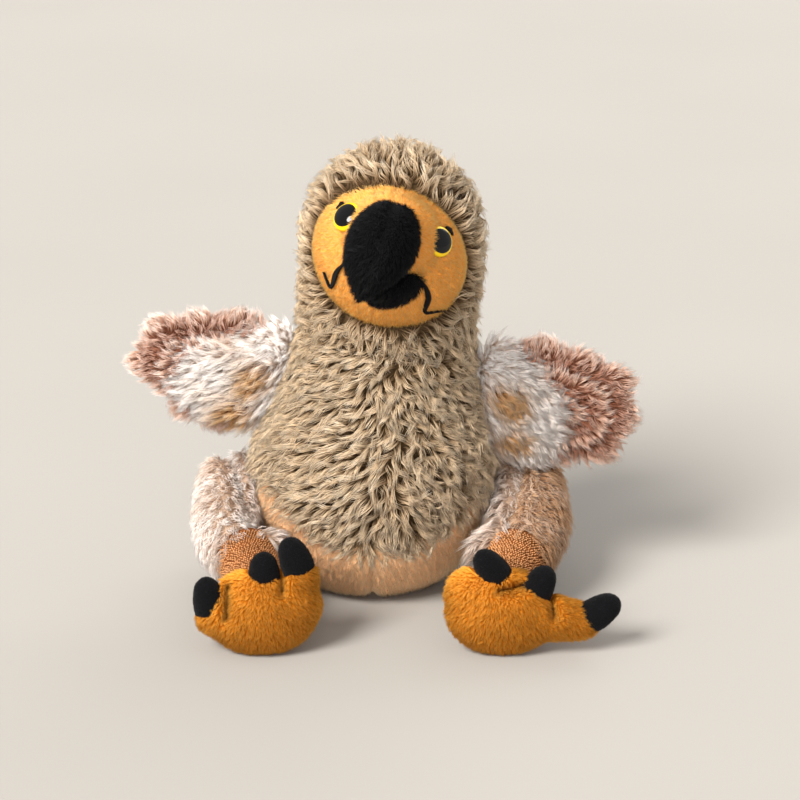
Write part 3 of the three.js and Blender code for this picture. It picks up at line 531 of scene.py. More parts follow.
LOOKS = {}  # the finishes of a backing and its pile, by slot
SKIN_SHARE = 0.3  # part of the bake map that the backing takes
LOWEST = 0.05  # mm; no strand goes below this
# nodes hidden behind a cover, which its piece also stands for, by the cover's node
HOLDS = {"coat_front_left": ["body_stuffing"], "hood_left": ["head_stuffing"],
         "belly_left": ["pellet_bag"], "beak_upper": ["beak_stuffing"]}
for key in SIDES:
    HOLDS |= {f"wing_back_{key}": [f"wing_stuffing_{key}"], f"eye_{key}": [f"eye_washer_{key}"],
              f"thigh_outer_{key}": [f"leg_stuffing_{key}"],
              f"foot_sole_{key}": [f"foot_stuffing_{key}"]}


def mesh_of(name, points, faces, kinds, cells, values, finishes):
    """A mesh from arrays: points in mm, triangles, the number of each one's finish, its corners'
    places in the bake map, and named values for each point."""
    mesh = bpy.data.meshes.new(name)
    mesh.vertices.add(len(points))
    mesh.vertices.foreach_set("co", (points * MM).astype(np.float32).ravel())
    mesh.loops.add(faces.size)
    mesh.loops.foreach_set("vertex_index", faces.astype(np.int32).ravel())
    mesh.polygons.add(len(faces))
    mesh.polygons.foreach_set("loop_start", np.arange(0, faces.size, 3, dtype=np.int32))
    for finish in finishes:
        mesh.materials.append(finish.material)
    mesh.polygons.foreach_set("material_index", kinds.astype(np.int32))
    mesh.polygons.foreach_set("use_smooth", np.ones(len(faces), bool))
    for key, value in values.items():
        made = mesh.attributes.new(key, "FLOAT", "POINT")
        made.data.foreach_set("value", np.concatenate(value).astype(np.float32))
    bake = mesh.uv_layers.new(name="OFBake")
    bake.data.foreach_set("uv", cells.astype(np.float32).ravel())
    mesh.update(calc_edges=True)
    return mesh


def piece(name, skin, piles, slot, body, node, bend=None):
    """A mesh object from a closed skin and piles of strands, set on its body, or, where bend is
    given, left in the toy's frame on no body; what bend holds is not used. It stands for a node and
    what that holds."""
    points, faces = [skin[0]], [skin[1]]
    count, strands = len(skin[0]), sum(len(made["line"]) for made in piles)
    values = {"root_to_tip": [np.zeros(count)], "tone": [np.full(count, 0.5)],
              "tint": [np.full(count, 0.5)]}
    low = split = SKIN_SHARE if piles else 1.0
    cells, kinds = [skin_cells(len(skin[1]), 0.0, split)], [np.zeros(len(skin[1]))]
    for made in piles:
        corners = prisms(made)
        amount, each = corners.shape[:2]
        rings = made["line"].shape[1] - 1
        one, spots = strand_faces(rings)
        faces.append((one[None] + (count + np.arange(amount) * each)[:, None, None]).reshape(-1, 3))
        points.append(corners.reshape(-1, 3))
        count += amount * each
        step = np.append(np.repeat(np.arange(rings), 3), rings) / rings
        values["root_to_tip"].append(np.tile(step, amount))
        for key in ("tone", "tint"):
            values[key].append(np.repeat(made[key], each))
        high = low + (1 - split) * amount / strands
        cells.append(strand_cells(amount, spots, low, high).reshape(-1, 3, 2))
        kinds.append(np.ones(len(faces[-1])))
        low = high
    points, faces, kinds, cells = map(np.concatenate, (points, faces, kinds, cells))
    points[:, 2] = np.maximum(points[:, 2], LOWEST)
    mesh = mesh_of(name, points, faces, kinds, cells, values, LOOKS[slot])
    obj = bpy.data.objects.new(name, mesh)
    bpy.context.collection.objects.link(obj)
    if bend:
        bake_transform(obj)
    else:
        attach(obj, body)
    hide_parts(node, *HOLDS.get(node, []))
    print(f"{name}: {strands} strands, {len(faces)} triangles")
    return obj


# %% [markdown]
# ## Finishes
# Pile is darker at its roots, where light hardly reaches and the yarn is dyed deeper, and pale
# at its tips. A ramp along the strand gives that, a tone for each lock and a soft patchy noise
# keep it from looking even. The backing cloth below takes the root colour.


# %% Pile and backing finishes
def inks(*stops):
    """A ramp's stops: each a place from 0 to 1 and a screen colour."""
    return [(place, ink(*colour)) for place, *colour in stops]


def pile_finish(name, stops, second=None, patch=40.0, vary=0.45, sheen=0.0):
    """Colour along a strand, times a tone of its lock and a patchy noise; a second set of stops
    is mixed in by the strand's tint."""
    made = Finish(name, Roughness=0.92, Sheen_Weight=sheen, Sheen_Roughness=0.6,
                  Specular_IOR_Level=0.15)
    along = made.attribute("root_to_tip")
    colour = made.ramp(along, inks(*stops))
    if second:
        colour = made.mix(made.attribute("tint"), colour, made.ramp(along, inks(*second)))
    tone = made.attribute("tone") + 0.6 * made.noise(patch)
    made.colour(made.scaled(colour, 1 - 0.8 * vary + vary * tone))
    return made


def backing_finish(name, dark, light):
    """Knitted backing cloth, two close colours in a fine noise with a shallow bump."""
    made = Finish(name, Roughness=0.95, Specular_IOR_Level=0.1)
    grain = made.noise(900.0, detail=4.0)
    made.colour(made.mix(grain, ink(*dark), ink(*light)))
    made.bump(grain, strength=0.4, distance=0.0004)
    return made


def cloth_look(slot, dark, light, *stops, name=None, **look):
    """A slot's two finishes: the backing's two colours, then the pile from root to tip."""
    backing = backing_finish(f"{slot.split('_')[0]}_backing", dark, light)
    LOOKS[slot] = [backing, pile_finish(name or slot, stops, **look)]


cloth_look("greige_pile", (70, 54, 34), (100, 80, 54), (0, 82, 61, 41), (0.35, 146, 120, 89),
           (0.7, 212, 189, 158), (1, 246, 231, 208), vary=0.5)
cloth_look("orange_plush", (242, 160, 66), (249, 182, 92), (0, 247, 164, 66), (0.5, 250, 190, 98),
           (1, 251, 211, 142), vary=0.12)
cloth_look("black_plush", (4, 4, 5), (9, 9, 11), (0, 4, 4, 5), (0.6, 9, 9, 11), (1, 20, 20, 23),
           sheen=0.03)
cloth_look("peach_plush", (242, 190, 140), (249, 206, 160), (0, 246, 192, 140),
           (0.4, 250, 210, 164), (1, 251, 227, 196), vary=0.12)
cloth_look("mustard_plush", (150, 80, 8), (190, 110, 20), (0, 158, 86, 8), (0.45, 216, 134, 30),
           (1, 245, 183, 84), vary=0.4)
cloth_look("white_pile", (216, 194, 174), (236, 220, 204), (0, 206, 178, 156), (0.3, 230, 215, 204),
           (0.65, 241, 235, 231), (1, 246, 243, 240), vary=0.16, second=[
               (0, 112, 70, 40), (0.45, 184, 134, 84), (0.8, 218, 182, 138), (1, 246, 232, 214)])
cloth_look("brown_pile", (92, 54, 40), (130, 82, 62), (0, 92, 48, 30), (0.4, 146, 86, 60),
           (0.75, 176, 118, 92), (1, 204, 156, 132), vary=0.26, second=[
               (0, 164, 112, 88), (0.4, 218, 178, 154), (0.75, 242, 220, 207), (1, 252, 242, 235)])
cloth_look("mottled_plush", (160, 130, 106), (196, 170, 148), (0, 192, 166, 146),
           (0.35, 228, 212, 200), (0.7, 240, 233, 228), (1, 245, 241, 237), vary=0.22, second=[
               (0, 100, 66, 42), (0.45, 168, 124, 88), (0.8, 204, 166, 130), (1, 230, 206, 184)])
# Terry loops are lightest at the top of each arch and darker at both ends, where they go into the
# cloth, and the backing behind is darker still: painted shade between the loops.
cloth_look("terry", (86, 48, 22), (140, 82, 42), (0, 150, 92, 50), (0.5, 224, 164, 112),
           (1, 144, 88, 48), name="terry_loops", vary=0.45)
print("finishes:", len(bpy.data.materials))

# %% [markdown]
# ## Coat
# Body and head share one pear-shaped form. On the real toy four long-pile panels make the body
# and two the hood, sewn down the middle, where the pile parts. The form is turned from an
# outline, flattened a little and leaned, as in the part's source; the backing lies a pile's
# depth inside it. The neck is a dome that the hood slides on, so the panels run on over it
# with short pile.

# %% Coat form
BELLY_RADIUS, BELLY_HEIGHT, BELLY_DEPTH = 60.0, 54.0, 55.0
SEAT_RADIUS = 26.0
NECK_RADIUS, NECK_HEIGHT = 45.0, 142.0
HEAD_RADIUS, HEAD_HEIGHT, HEAD_DEPTH = 45.5, 180.0, 44.0
CROWN_HEIGHT = 228.0
HEAD_LEAN = 10.0
NECK_PIVOT = np.array([3.8874, 0.0, 108.0])
NECK_BALL = 53.0
COAT_PILE = 6.0  # how deep the backing lies below the coat's outline
SEAM_HEIGHT, SEAM_RISE = 27, 28  # the belly's upper edge in the middle, and its rise to the sides


def coat_radius(z):
    """Half width at a height: a quarter ellipse to the belly, a cosine draw-in to the neck, a
    straight run to the head, and a quarter ellipse to the crown."""
    seat = SEAT_RADIUS + (BELLY_RADIUS - SEAT_RADIUS) * np.sqrt(
        np.clip(1 - (1 - z / BELLY_HEIGHT) ** 2, 0, 1))
    trunk = ease(BELLY_RADIUS, NECK_RADIUS, (z - BELLY_HEIGHT) / (NECK_HEIGHT - BELLY_HEIGHT))
    widen = (HEAD_RADIUS - NECK_RADIUS) * (z - NECK_HEIGHT) / (HEAD_HEIGHT - NECK_HEIGHT)
    head = NECK_RADIUS + widen
    crown = HEAD_RADIUS * np.sqrt(
        np.clip(1 - ((z - HEAD_HEIGHT) / (CROWN_HEIGHT - HEAD_HEIGHT)) ** 2, 0, 1))
    below = [z < BELLY_HEIGHT, z < NECK_HEIGHT, z < HEAD_HEIGHT]
    return np.select(below, [seat, trunk, head], crown)


def coat_point(angle, z):
    """A place on the coat: its half width turned by an angle from the toy's left to its front,
    flattened from front to back, and moved over with the head's lean."""
    z = z + 0 * angle
    rise = (z - BELLY_HEIGHT) / (HEAD_HEIGHT - BELLY_HEIGHT)
    flat = ease(BELLY_DEPTH / BELLY_RADIUS, HEAD_DEPTH / HEAD_RADIUS, rise)
    x = ease(0, HEAD_LEAN, rise) + coat_radius(z) * np.cos(angle)
    return np.stack([x, -flat * coat_radius(z) * np.sin(angle), z], -1)


def belly_seam(angle):
    """Height of the belly's upper edge, which rises with the square of x, found by putting the
    height back into the form a few times."""
    z = np.full_like(angle, 40.0)
    for _ in range(20):
        z = SEAM_HEIGHT + SEAM_RISE * (coat_point(angle, z)[..., 0] / BELLY_RADIUS) ** 2
    return z


def neck_rim(angle, radius):
    """Height at which the coat's form meets a ball about the neck pivot."""
    z = np.full_like(angle, 130.0)
    for _ in range(20):
        flat = coat_point(angle, z)[..., :2] - NECK_PIVOT[:2]
        z = NECK_PIVOT[2] + np.sqrt(np.clip(radius**2 - np.sum(flat**2, -1), 1, None))
    return z


def frame_along(origin, direction, up):
    """A frame with z along a direction and y as near up as it goes, as a 4 by 4 matrix."""
    z = unit(np.asarray(direction, float))
    x = unit(np.cross(up, z))
    made = np.eye(4)
    made[:3, :3] = np.stack([x, np.cross(z, x), z], 1)
    made[:3, 3] = origin
    return made


def turned(axis, degrees):
    """A turn about x, y or z as a 4 by 4 matrix."""
    a = np.radians(degrees)
    i, j = {"x": (1, 2), "y": (2, 0), "z": (0, 1)}[axis]
    made = np.eye(4)
    made[i, i] = made[j, j] = np.cos(a)
    made[j, i], made[i, j] = np.sin(a), -np.sin(a)
    return made


print("coat half width at the neck pivot:", round(float(coat_radius(np.array(NECK_PIVOT[2]))), 1))

# %% [markdown]
# ### Which way the coat lies
# On the viewer's left half the locks lie sideways and a little down, in straight wisps. On the
# right half they are curlier and fall down and outward. On the hood they stand away from the
# face all round, and at the back everything falls down.

# %% Comb of the coat
FACE_BELOW = 7.0  # mm from the head's widest height down to the middle of the face
FACE_AIM, FACE_RISE, FACE_ROLL = np.radians(-3), np.radians(12), -14
FACE_FRAME = frame_along(
    [HEAD_LEAN, 0, HEAD_HEIGHT - FACE_BELOW],
    [np.sin(FACE_AIM) * np.cos(FACE_RISE), -np.cos(FACE_AIM) * np.cos(FACE_RISE),
     np.sin(FACE_RISE)],
    np.array([0, 0, 1.0])) @ turned("z", FACE_ROLL)
TO_FACE = np.linalg.inv(FACE_FRAME)
FACE_STRETCH, FACE_SLANT = 0.055, np.radians(154)
FULLEST_AT, FULLEST_SPREAD = 70, 26  # heights at which the coat is fuller
RIGHT_WAY, LEFT_WAY = [-0.9, 0, -0.36], [0.6, 0, -0.8]  # how locks lie on each front half


def face_rim(x, y):
    """The stretch of the face's outline at a place: longer along a slant, shorter across it, by
    the cosine of twice the angle from the slant."""
    return 1 + FACE_STRETCH * np.cos(2 * (np.arctan2(y, x) - FACE_SLANT))


def drift(places, scale, seed):
    """A smooth random field of about -1 to 1: three sine waves across the place, summed."""
    waves = np.random.default_rng(seed).normal(0, scale, (3, 3))
    return np.sin(places @ waves.T + seed * np.array([1.0, 2.3, 3.7])).sum(1, keepdims=True) / 1.7


def body_comb(places, out):
    """Sideways and down on the toy's right, down and outward on its left and behind."""
    x, y = places[:, :1] - NECK_PIVOT[0] * places[:, 2:] / NECK_PIVOT[2], places[:, 1:2]
    front = ease(1, 0, (y + 25) / 50)
    left = ease(0, 1, (x + 13 + 6 * drift(places, 0.1, 9)) / 26)
    side = (1 - left) * RIGHT_WAY + left * LEFT_WAY
    low = ease(1, 0, (places[:, 2:] - 30) / 40)
    side = side + low * [0, 0, -0.7]
    way = front * side + (1 - front) * ([0, 0, -1.0] + np.sign(x) * [0.25, 0, 0])
    swerve = drift(places, 0.12, 3) * (0.12 + 0.5 * left)
    return unit(way) + swerve * np.cross(out, unit(way))


def hood_comb(places, out):
    """Away from the middle of the face and backwards; down at the back of the head."""
    q = placed(places, TO_FACE)
    away = rows_of(q[:, 0], q[:, 1], -14) @ FACE_FRAME[:3, :3].T
    back = ease(1, 0, (q[:, 2:] + 25) / 45)
    way = (1 - back) * unit(away) + back * np.array([0, 0, -1.0])
    return unit(way) + 0.4 * drift(places, 0.12, 5) * np.cross(out, unit(way))


def low_bulge(z):
    """How much the coat is fuller at a height: a bell curve about the widest part of the body."""
    return np.exp(-(((z - FULLEST_AT) / FULLEST_SPREAD) ** 2))


def coat_curl(places):
    """Locks wind wider on the toy's left."""
    return np.where(places[:, 0] > 4, 1.8, 1.1)


print("face looks along", np.round(FACE_FRAME[:3, 2], 2))

# %% Coat panels
QUARTERS = {"front_left": (0, 90), "front_right": (90, 180), "back_right": (180, 270),
            "back_left": (270, 360)}
COAT_CLOTH = 2.5  # thickness of the backing
COAT_LOCK, NECK_LOCK, HOOD_LOCK = 10.5, 5.0, 10.0  # lengths of pile
FULLER_SKIN, FULLER_LOCK = 2.2, 1.5  # what the fullest part adds
NECK_DOME, DOME_RISE = 46.5, np.radians(62)
SHAGGY = {"width": 0.5, "curl": coat_curl, "turns": 0.9, "rings": 3, "blunt": 0.5}
for key, (start, end) in QUARTERS.items():
    angle = np.radians(np.linspace(start, end, 26))[None, :]
    raised = ease(13.0, 3.0, (np.cos(angle) + 0.8) / 0.9)
    low, high = belly_seam(angle) + raised, neck_rim(angle, NECK_BALL)
    up = np.linspace(0, 1, 40)[:, None]
    outside = facing_out(coat_point(angle, low + (high - low) * up), [0, 0, 90])
    middle = outside[..., 0] - HEAD_LEAN * outside[..., 2] / HEAD_HEIGHT
    crease = 1.2 * np.exp(-((middle / 5) ** 2))
    side = sunk(outside, COAT_PILE + crease - FULLER_SKIN * low_bulge(outside[..., 2]))
    rim = side[-1] - NECK_PIVOT
    steep = np.arctan2(rim[:, 2], np.linalg.norm(rim[:, :2], axis=1))
    climb = np.linspace(0, 1, 10)[1:, None]
    slope = (steep + climb * (DOME_RISE - steep))[..., None]
    dome_radius = ease(np.linalg.norm(rim, axis=1), NECK_DOME, 3 * climb)[..., None]
    flat = unit(rim * [1, 1, 0])[None]
    dome = NECK_PIVOT + dome_radius * (np.cos(slope) * flat + np.sin(slope) * [0, 0, 1])
    grid = np.concatenate([side, dome])
    rim_height = float(np.mean(high))

    def lock_length(places):
        """Short over the neck's dome, and fuller round the widest part of the body."""
        full = COAT_LOCK + FULLER_LOCK * low_bulge(places[:, 2])
        return np.where(places[:, 2] > rim_height - 6, NECK_LOCK, full)

    locks, strands = (800, 12) if key.startswith("front") else (440, 11)
    curly = 0.35 if key == "front_right" else 1.0
    locks = pile(outer_skin(grid), locks, strands, lock_length, body_comb, lift=1.05, clump=0.68,
                 jitter=0.24 + 0.24 * curly, wave=1.5 * curly, fray=0.7, **SHAGGY)
    piece(f"coat_{key}_pile", shell(grid, COAT_CLOTH), [locks], "greige_pile", "torso",
          f"coat_{key}")

# %% Hood panels
HALVES = {"left": (-90, 90), "right": (90, 270)}
FACE_OPENING = (34.0, 33.5)  # half width and height of the hood's edge round the face
for key, (start, end) in HALVES.items():
    angle = np.radians(np.linspace(start, end, 50))[None, :]
    low = neck_rim(angle, NECK_BALL) - 1.0
    up = np.linspace(0, 1, 18)[:, None]
    over = np.radians(np.linspace(0, 89, 26))[1:, None]
    heights = np.concatenate([
        low + (HEAD_HEIGHT - low) * up,
        HEAD_HEIGHT + (CROWN_HEIGHT - HEAD_HEIGHT) * np.sin(over) + 0 * angle])
    grid = sunk(facing_out(coat_point(angle, heights), [HEAD_LEAN, 0, 170]), COAT_PILE)

    def round_face(places):
        """True outside the face's opening, and behind it."""
        q = placed(places, TO_FACE)
        oval = np.hypot(*(q[:, :2] / FACE_OPENING).T) / face_rim(q[:, 0], q[:, 1])
        return (q[:, 2] < 0) | (oval > 1)

    locks = pile(outer_skin(grid), 820, 11, HOOD_LOCK, hood_comb, lift=1.15, clump=0.72,
                 jitter=0.45, keep=round_face, wave=1.5, fray=0.5, **SHAGGY)
    piece(f"hood_{key}_pile", shell(grid, COAT_CLOTH), [locks], "greige_pile", "head",
          f"hood_{key}")

# %% [markdown]
# ## Belly and seat
# Short peach plush closes the body below, in two panels with a seam down the middle and a round
# panel to sit on. The plush is short, so the backing lies just below the form's outline.

# %% Belly panels
BELLY_UNDER = 12  # how far the belly runs up under the coat
PLUSH_CLOTH, BELLY_NAP, SEAT_NAP = 1.8, 3.8, 1.6  # thickness of backing, lengths of pile


def belly_comb(places, out):
    """Down, and a little away from the middle."""
    return rows_of(0.25 * np.sign(places[:, 0]), 0, -1)


for key, (start, end) in HALVES.items():
    angle = np.radians(np.linspace(start, end, 60))[None, :]
    top = belly_seam(angle) + BELLY_UNDER
    tilt = np.arccos(1 - np.minimum(top, BELLY_HEIGHT) / BELLY_HEIGHT)
    up = np.linspace(0.0, 1, 26)[:, None]
    heights = BELLY_HEIGHT * (1 - np.cos(tilt * up)) + np.maximum(top - BELLY_HEIGHT, 0) * up
    outside = facing_out(coat_point(angle, heights), [0, 0, 40])
    crease = 2.6 * np.exp(-((outside[..., 0] / 2.8) ** 2))
    grid = sunk(outside, PLUSH_CLOTH + crease + 4.0 * ease(0, 1, (up - 0.75) / 0.25))
    plush = pile(outer_skin(grid), 1850, 10, BELLY_NAP, belly_comb, lift=0.95, clump=0.4,
                 width=0.33, rings=1, jitter=0.16, lay=0.85, fray=0.3)
    piece(f"belly_{key}_plush", shell(grid, PLUSH_CLOTH), [plush], "peach_plush", "torso",
          f"belly_{key}")

# %% Seat panel
SEAT_REACH = [25.6, 25.6, 24.4, 22.0, 8.0]
SEAT_LEVEL = [4.5, 1.6, 0.5, 0.1, 0.1]
SEAT_FLAT = -0.9167  # depth over width, as the belly's; the sign turns the rings the other way


def turned_rings(reach, level, sides, flat=1.0):
    """Rings of a form turned about z, from a reach and a level for each."""
    turn = full_turn(sides)
    reach, level = np.asarray(reach)[:, None], np.asarray(level)[:, None]
    return rows_of(reach * np.cos(turn), flat * reach * np.sin(turn), level)


def seat_comb(places, out):
    """Outward, level."""
    return places * [1, 1, 0]


seat_skin = loft(turned_rings(SEAT_REACH, SEAT_LEVEL, 48, SEAT_FLAT))
plush = pile(seat_skin, 500, 6, SEAT_NAP, seat_comb, lift=0.5, clump=0.4, width=0.4, rings=1,
             keep=lambda places: places[:, 2] < 3)
piece("seat_base_plush", seat_skin, [plush], "peach_plush", "torso", "seat_base")

# %% [markdown]
# ## Neck wad
# A firm wad of fibre carries the head inside the neck. It never shows, but it turns with the
# neck, so it stays a piece of its own: a round plug with a domed, lumpy top.

# %% Neck wad
fibre = Finish("fibre_fill", Roughness=1.0)
fibre.colour(fibre.mix(fibre.noise(260.0, detail=4.0), ink(226, 222, 212), ink(250, 248, 244)))
fibre.bump(fibre.noise(420.0, detail=4.0), strength=0.6, distance=0.001)
LOOKS["fibre_fill"] = [fibre]
WAD_RADIUS, WAD_HEIGHT = 20.5, 44
climb = np.linspace(0, 1, 14)[:, None]
turn = full_turn(36)
lump = 1 + 0.02 * np.sin(5 * turn + 9 * climb)
dome = np.sqrt(np.clip(1 - np.clip((climb - 0.55) / 0.46, 0, 1) ** 2, 0, 1))
wide = WAD_RADIUS * dome * lump
wad = rows_of(wide * np.cos(turn), wide * np.sin(turn), 1 + WAD_HEIGHT * climb)
piece("neck_wad_fibre", loft(NECK_PIVOT + wad), [], "fibre_fill", "neck", "neck_wad")

# %% [markdown]
# ## Face
# Two orange panels meet in a seam over the muzzle. The face is a broad cap with a muzzle bulge,
# joined softly, so its height over the face's own plane is a function of the place in it. A
# square grid pressed into an oval keeps the cells even, with no pole in the middle, and beyond
# the oval it turns down into the hood's pile, as the sewn edge does.

# %% Face form
CAP_HALF = np.array([39.0, 38.0, 38.0])
CAP_SETBACK = 14.0
MUZZLE_HALF = np.array([22.5, 22.0, 20.0])
MUZZLE_AT = np.array([0.0, 9.0, 42.0])
FACE_HALF = (35.6, 34.6)
FACE_CLOTH, FACE_NAP = 2.6, 2.1
FACE_TUCK = 1.14  # how far the grid goes on beyond the oval's edge, into the hood


def face_height(x, y):
    """Height of the face: the larger of cap and muzzle, blended over about 4 mm."""
    cap = CAP_SETBACK + CAP_HALF[2] * np.sqrt(
        np.clip(1 - (x / CAP_HALF[0]) ** 2 - (y / CAP_HALF[1]) ** 2, 0.02, 1))
    round_it = 1 - (x / MUZZLE_HALF[0]) ** 2 - ((y - MUZZLE_AT[1]) / MUZZLE_HALF[1]) ** 2
    muzzle = MUZZLE_AT[2] + MUZZLE_HALF[2] * np.sign(round_it) * np.sqrt(np.abs(round_it))
    gap = np.clip(0.5 + (muzzle - cap) / 8, 0, 1)
    return cap + (muzzle - cap) * gap + 4 * gap * (1 - gap)


def face_place(x, y, above=0.0):
    """A place over the face's plane, in the toy's frame."""
    return placed(np.stack([x, y, face_height(x, y) + above], -1), FACE_FRAME)


def face_comb(places, out):
    """Away from a place above the middle of the face."""
    q = placed(places, TO_FACE)
    return rows_of(q[:, 0], q[:, 1] - 14, 0) @ FACE_FRAME[:3, :3].T


print("height of the muzzle over the face's plane:", round(float(face_height(*MUZZLE_AT[:2])), 1))

# %% Face panels
for key, side in SIDES.items():
    across = np.linspace(0, FACE_TUCK, 38) * side
    u, v = np.meshgrid(across, np.linspace(-FACE_TUCK, FACE_TUCK, 68))
    beyond = np.maximum(np.maximum(np.abs(u), np.abs(v)), 1)
    u, v = u / beyond, v / beyond
    x = FACE_HALF[0] * u * np.sqrt(1 - v**2 / 2)
    y = FACE_HALF[1] * v * np.sqrt(1 - u**2 / 2)
    x, y = x * face_rim(x, y), y * face_rim(x, y)
    seam = 1.1 * np.exp(-((x / 1.3) ** 2))
    grid = face_place(x, y, -1.4 - seam - 90 * (beyond - 1))
    grid = facing_out(grid, placed(np.zeros(3), FACE_FRAME))
    plush = pile(outer_skin(grid), 2000, 9, FACE_NAP, face_comb, lift=1.3, clump=0.3, width=0.33,
                 rings=1, jitter=0.4, lay=0.8, fray=0.2)
    piece(f"face_{key}_plush", shell(grid, FACE_CLOTH), [plush], "orange_plush", "head",
          f"face_{key}")

# %% [markdown]
# ## Soft tubes
# Beak, thighs, sleeves, toes and tail are profiles carried along a path: an ellipse whose width
# and height change along the way, rounded off at an end where the piece closes.


# %% Paths and limbs
def hermite(start, end, leave, arrive, t):
    """A cubic from start to end with the slopes that it leaves and arrives with."""
    return (start * (2 * t**3 - 3 * t**2 + 1) + leave * (t**3 - 2 * t**2 + t)
            + end * (3 * t**2 - 2 * t**3) + arrive * (t**3 - t**2))


def spline(keys, count):
    """A curve through key points, evenly stepped: cubic pieces whose end slopes come from the
    neighbouring keys, with time going as the square root of the distance between them."""
    p = np.asarray(keys, float)
    p = np.concatenate([[2 * p[0] - p[1]], p, [2 * p[-1] - p[-2]]])
    gap = np.sqrt(np.linalg.norm(np.diff(p, axis=0), axis=1))[:, None]
    slope = np.diff(p, axis=0) / gap
    chord = (p[2:] - p[:-2]) / (gap[1:] + gap[:-1])
    tangent = slope[:-1] - chord + slope[1:]
    s = np.linspace(0, len(keys) - 1, 400)
    i = np.clip(s.astype(int), 0, len(keys) - 2)
    t = (s - i)[:, None]
    a, b = tangent[i] * gap[i + 1], tangent[i + 1] * gap[i + 1]
    line = hermite(p[i + 1], p[i + 2], a, b, t)
    return line_at(line, np.linspace(0, 1, count))


def line_at(line, share):
    """Places at shares of a line's length."""
    run = np.concatenate([[0], np.cumsum(np.linalg.norm(np.diff(line, axis=0), axis=1))])
    return np.stack([np.interp(share * run[-1], run, line[:, k]) for k in range(3)], -1)


def heading(line, share, reach):
    """The direction of a line at shares of its length, from a little before to a little after."""
    ahead, behind = np.minimum(share + reach, 1), np.maximum(share - reach, 0)
    return unit(line_at(line, ahead) - line_at(line, behind))


def keyed(keys, t):
    """A value that eases from key to key, evenly spaced as t goes from 0 to 1."""
    s = np.clip(t, 0, 1) * (len(keys) - 1)
    i = np.clip(s.astype(int), 0, len(keys) - 2)
    k = np.asarray(keys, float)
    f = s - i
    before, after = k[np.maximum(i - 1, 0)], k[np.minimum(i + 2, len(keys) - 1)]
    a, b = (k[i + 1] - before) / 2, (after - k[i]) / 2
    return hermite(k[i], k[i + 1], a, b, f)


def limb(line, widths, heights, side, share, sides, inset, round_start=0.0, round_end=0.0):
    """Rings along a line at shares of its length: centre, plus width times cosine across, plus
    height times sine up; near a round end both shrink as a circle does."""
    near = np.minimum((share - share[0]) / round_start, 1) if round_start else np.ones_like(share)
    far = np.minimum((share[-1] - share) / round_end, 1) if round_end else np.ones_like(share)
    close = np.sqrt(1 - (1 - near) ** 2) * np.sqrt(1 - (1 - far) ** 2)
    wide = np.maximum(0.2, (keyed(widths, share) / 2 - inset) * close)[:, None, None]
    tall = np.maximum(0.2, (keyed(heights, share) / 2 - inset) * close)[:, None, None]
    centre = line_at(line, share)
    along = heading(line, share, 0.01)
    up = unit(np.cross(along, side))[:, None]
    across = np.cross(up[:, 0], along)[:, None]
    angle = full_turn(sides)[None, :, None]
    return centre[:, None] + wide * across * np.cos(angle) + tall * up * np.sin(angle)


def bunched(start, end, count):
    """Shares from start to end that lie closer together at both ends."""
    return start + (end - start) * (1 - np.cos(np.linspace(0, np.pi, count))) / 2


def ball_rings(centre, half, sides=32):
    """Rings of an ellipsoid: half sizes times the cosine and sine of two angles."""
    turn, climb = np.meshgrid(full_turn(sides), bunched(-np.pi / 2, np.pi / 2, 18))
    flat = rows_of(np.cos(turn) * np.cos(climb), np.sin(turn) * np.cos(climb), np.sin(climb))
    return centre + flat * half


straight = spline([[0, 0, 0], [1, 0, 0], [2, 0, 0]], 3)
print("the middle of a straight path:", np.round(straight[1], 3))

# %% [markdown]
# ## Beak
# Black short plush over a hooked form. The upper half swells out of the muzzle and turns down
# to the toy's right; the lower half is a small lip below it.

# %% Beak
BEAK_NAP = 3.0
s = np.linspace(0, 1, 60)[:, None]
root, bend, tip = np.array([[-1, 9.5, 52.0], [-4, 14.5, 80.0], [-6.5, -18, 80.0]])
hook = (1 - s) ** 2 * root + 2 * s * (1 - s) * bend + s**2 * tip
rings = limb(hook, [31, 36, 30, 15], [40, 40, 32, 18], [1, 0, 0], bunched(0, 1, 30),
             sides=48, inset=2.4, round_end=0.35)
spine = rings.mean(1, keepdims=True)
pinch = 0.13 * np.exp(-((np.linspace(-0.25, 0.75, 49)[:-1] / 0.025) ** 2))
rings = spine + (rings - spine) * (1 - pinch[None, :, None])
LIP_HALF, LIP_AT, LIP_ROLL = np.array([14.2, 8.4, 22.6]), [6.5, -12, 42], 33
lip = placed(ball_rings(0, LIP_HALF, 36), turned("z", LIP_ROLL)) + LIP_AT


def beak_comb(places, out):
    """Down and forward, a little to the toy's right."""
    return np.tile(FACE_FRAME[:3, :3] @ [-0.2, -0.8, 0.6], (len(places), 1))


for part, form, tufts, fill in (("upper", rings, 1500, 0.85), ("lower", lip, 700, 0.8)):
    skin = loft(placed(form, FACE_FRAME))
    plush = pile(skin, tufts, 8, BEAK_NAP, beak_comb, lift=1.2, clump=0.4, width=0.34, rings=1,
                 jitter=0.5, fray=0.4)
    piece(f"beak_{part}_plush", skin, [plush], "black_plush", "head", f"beak_{part}")

# %% [markdown]
# ## Eyes
# Glossy domes with a yellow ring painted round a black pupil, under clear varnish. Each is
# turned from its outline, and an attribute holds how far a point is from the middle, which the
# finish reads to paint the ring.

# %% Eyes
EYE_RADIUS, EYE_SHANK, EYE_SIDES = 7.5, 2.5, 48
EYE_AT = {"left": (21.0, 13.8), "right": (-22.4, 13.8)}  # in the face's frame
gloss = Finish("eye_plastic", Roughness=0.06, Specular_IOR_Level=0.35)
LOOKS["eye_plastic"] = [gloss]
gloss.colour(gloss.ramp(gloss.attribute("root_to_tip"), inks(
    (0, 4, 4, 5), (0.795, 5, 5, 6), (0.81, 244, 200, 0), (0.93, 250, 212, 10), (1, 222, 172, 0))))


